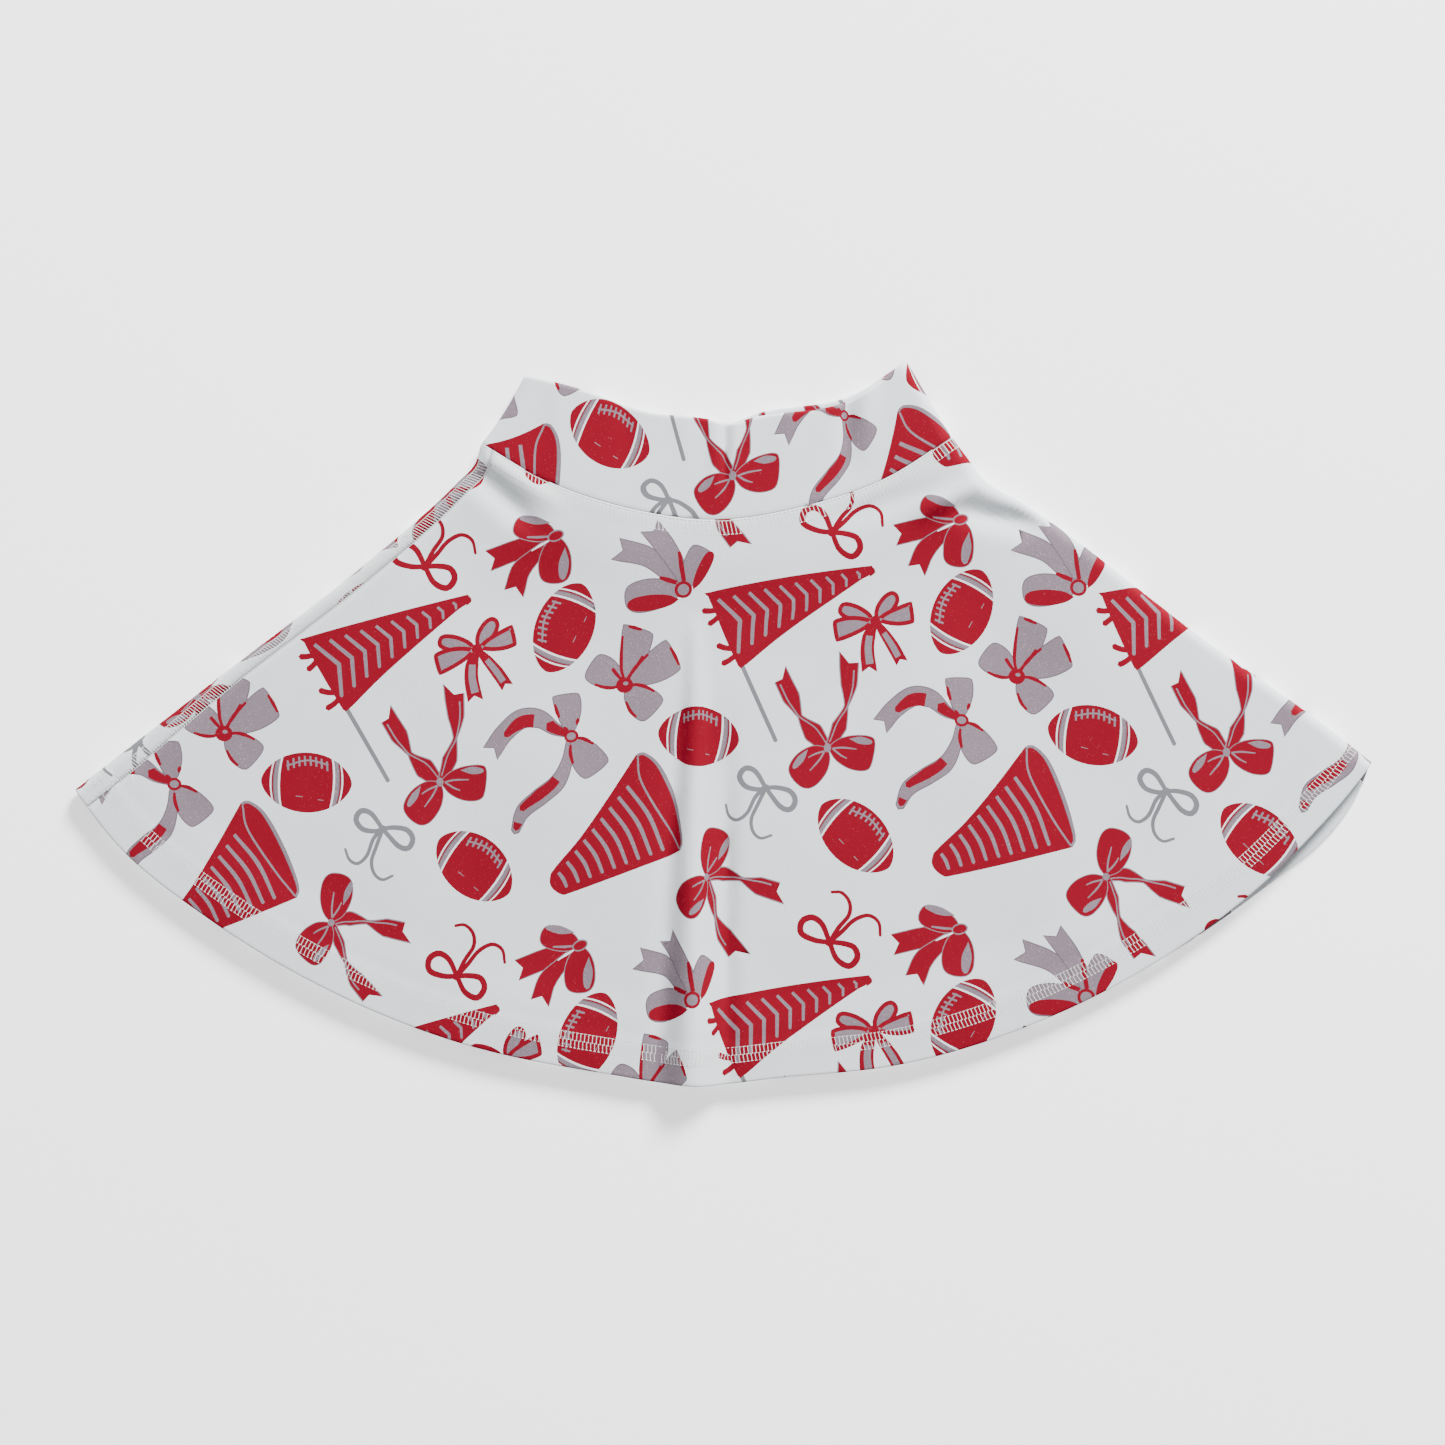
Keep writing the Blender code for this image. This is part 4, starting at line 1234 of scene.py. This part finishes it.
def knit(name, colours, roughness, sheen, shine, speckle=None):
    """Brushed knit: fine ribs of loops, a soft nap and a slightly uneven colour."""
    finish = Finish(name)
    shader = finish.shader
    cloudy = finish.noise(28, 4)
    colour = finish.between(cloudy, 0.3, 0.7, colours)
    if speckle is not None:
        dots = finish.noise(1900, 1.5)
        mask = finish.between(dots, speckle[0], speckle[0] + 0.08, ((0, 0, 0), (1, 1, 1)))
        mix = finish.node("ShaderNodeMix", data_type="RGBA")
        mix.inputs[7].default_value = (*speckle[1], 1)
        finish.link(colour, mix.inputs[6])
        finish.link(mask, mix.inputs[0])
        colour = mix.outputs[2]
    finish.link(colour, shader.inputs["Base Color"])
    finish.set({"Roughness": roughness, "Sheen Weight": sheen, "Sheen Roughness": 0.5,
                "Specular IOR Level": shine})
    ribs = finish.noise(900, 1.0, (1, 0.35, 1))
    nap = finish.noise(2600, 2.0)
    normal = finish.bump(ribs, 0.35, 0.0002)
    normal = finish.bump(nap, 0.35, 0.00012, normal)
    finish.link(normal, shader.inputs["Normal"])
    return finish.material


def thread_finish(name, colour, roughness):
    finish = Finish(name)
    shader = finish.shader
    shade = finish.between(finish.noise(700, 3), 0.35, 0.65, [[c * 0.93 for c in colour], colour])
    finish.link(shade, shader.inputs["Base Color"])
    finish.set({"Roughness": roughness, "Sheen Weight": 0.15})
    finish.link(finish.bump(finish.noise(3500, 2), 0.4, 0.0001), shader.inputs["Normal"])
    return finish.material


CLOTH_WHITE = (linear((218, 223, 226)), linear((223, 228, 231)))
KNIT = knit("white_brushed_knit", CLOTH_WHITE, 0.9, 0.1, 0.2)
KNIT_INSIDE = knit("white_knit_inside", CLOTH_WHITE, 0.95, 0.15, 0.2)
INK_RED = knit("red_print", ((0.194, 0.0044, 0.0138), (0.211, 0.0050, 0.0154)), 0.85, 0.0, 0.04,
               (0.70, (0.42, 0.10, 0.12)))
INK_GREY = knit("lilac_grey_print", ((0.180, 0.142, 0.169), (0.203, 0.161, 0.190)), 0.86, 0.04, 0.1,
                (0.62, (0.34, 0.30, 0.33)))
INK_DARK = knit("dark_outline_print", ((0.120, 0.090, 0.112), (0.135, 0.100, 0.125)), 0.85, 0.0, 0.1)
INK_COOL = knit("cool_grey_print", ((0.150, 0.150, 0.164), (0.168, 0.169, 0.184)), 0.85, 0.04, 0.1)
THREAD = thread_finish("white_thread", linear((232, 232, 230)), 0.6)
ELASTIC_WEAVE = thread_finish("woven_elastic", linear((214, 214, 208)), 0.8)
SATIN = thread_finish("label_satin", linear((233, 233, 229)), 0.35)

STRIP = strip_scale()
BAND_SHIFT, FRONT_SHIFT, BACK_SHIFT = (-48.0, 37.0), (0, 0), (85, 60)

front = skirt_panel("front", FRONT_SHIFT)
back = skirt_panel("back", BACK_SHIFT)
band_piece = waistband()
elastic_piece = elastic()
labels = [care_label(), size_label()]
hem_stitching()
waist_stitching()
side_stitching()
join_stitching()


# ---------------------------------------------------------------- the stage
FRAME_WIDE, CAMERA_UP, SENSOR = 722.5, 2.6, 36
FLOOR_GLOW, SKY = 1.1, 0.42
KEY_PLACE, KEY_WIDE, KEY_WATTS = (1.35, 2.75, 2.2), 1.25, 455


def studio():
    scene = bpy.context.scene
    floor_finish = Finish("studio_floor")
    floor_finish.set({"Base Color": (0.97, 0.97, 0.97, 1), "Roughness": 0.9,
                      "Specular IOR Level": 0.0, "Emission Color": (1, 1, 1, 1),
                      "Emission Strength": FLOOR_GLOW})
    bpy.ops.mesh.primitive_plane_add(size=6, location=(0, 0, 0))
    floor = bpy.context.active_object
    floor.name = "studio_floor"
    floor.data.materials.append(floor_finish.material)

    world = bpy.data.worlds.new("studio")
    world.use_nodes = True
    sky = world.node_tree.nodes["Background"].inputs
    sky["Color"].default_value, sky["Strength"].default_value = (0.97, 0.985, 1, 1), SKY
    scene.world = world

    light = bpy.data.lights.new("key", "AREA")
    light.shape, light.size, light.energy = "DISK", KEY_WIDE, KEY_WATTS
    lamp = bpy.data.objects.new("key", light)
    lamp.location = KEY_PLACE
    lamp.rotation_euler = Vector(KEY_PLACE).to_track_quat("Z", "Y").to_euler()
    scene.collection.objects.link(lamp)

    camera = bpy.data.cameras.new("camera")
    camera.sensor_width = SENSOR
    camera.lens = SENSOR * CAMERA_UP / (FRAME_WIDE * MM)
    shot = bpy.data.objects.new("camera", camera)
    shot.location = (-CENTRE[0] * MM, -CENTRE[1] * MM, CAMERA_UP)
    scene.collection.objects.link(shot)
    scene.camera = shot


studio()
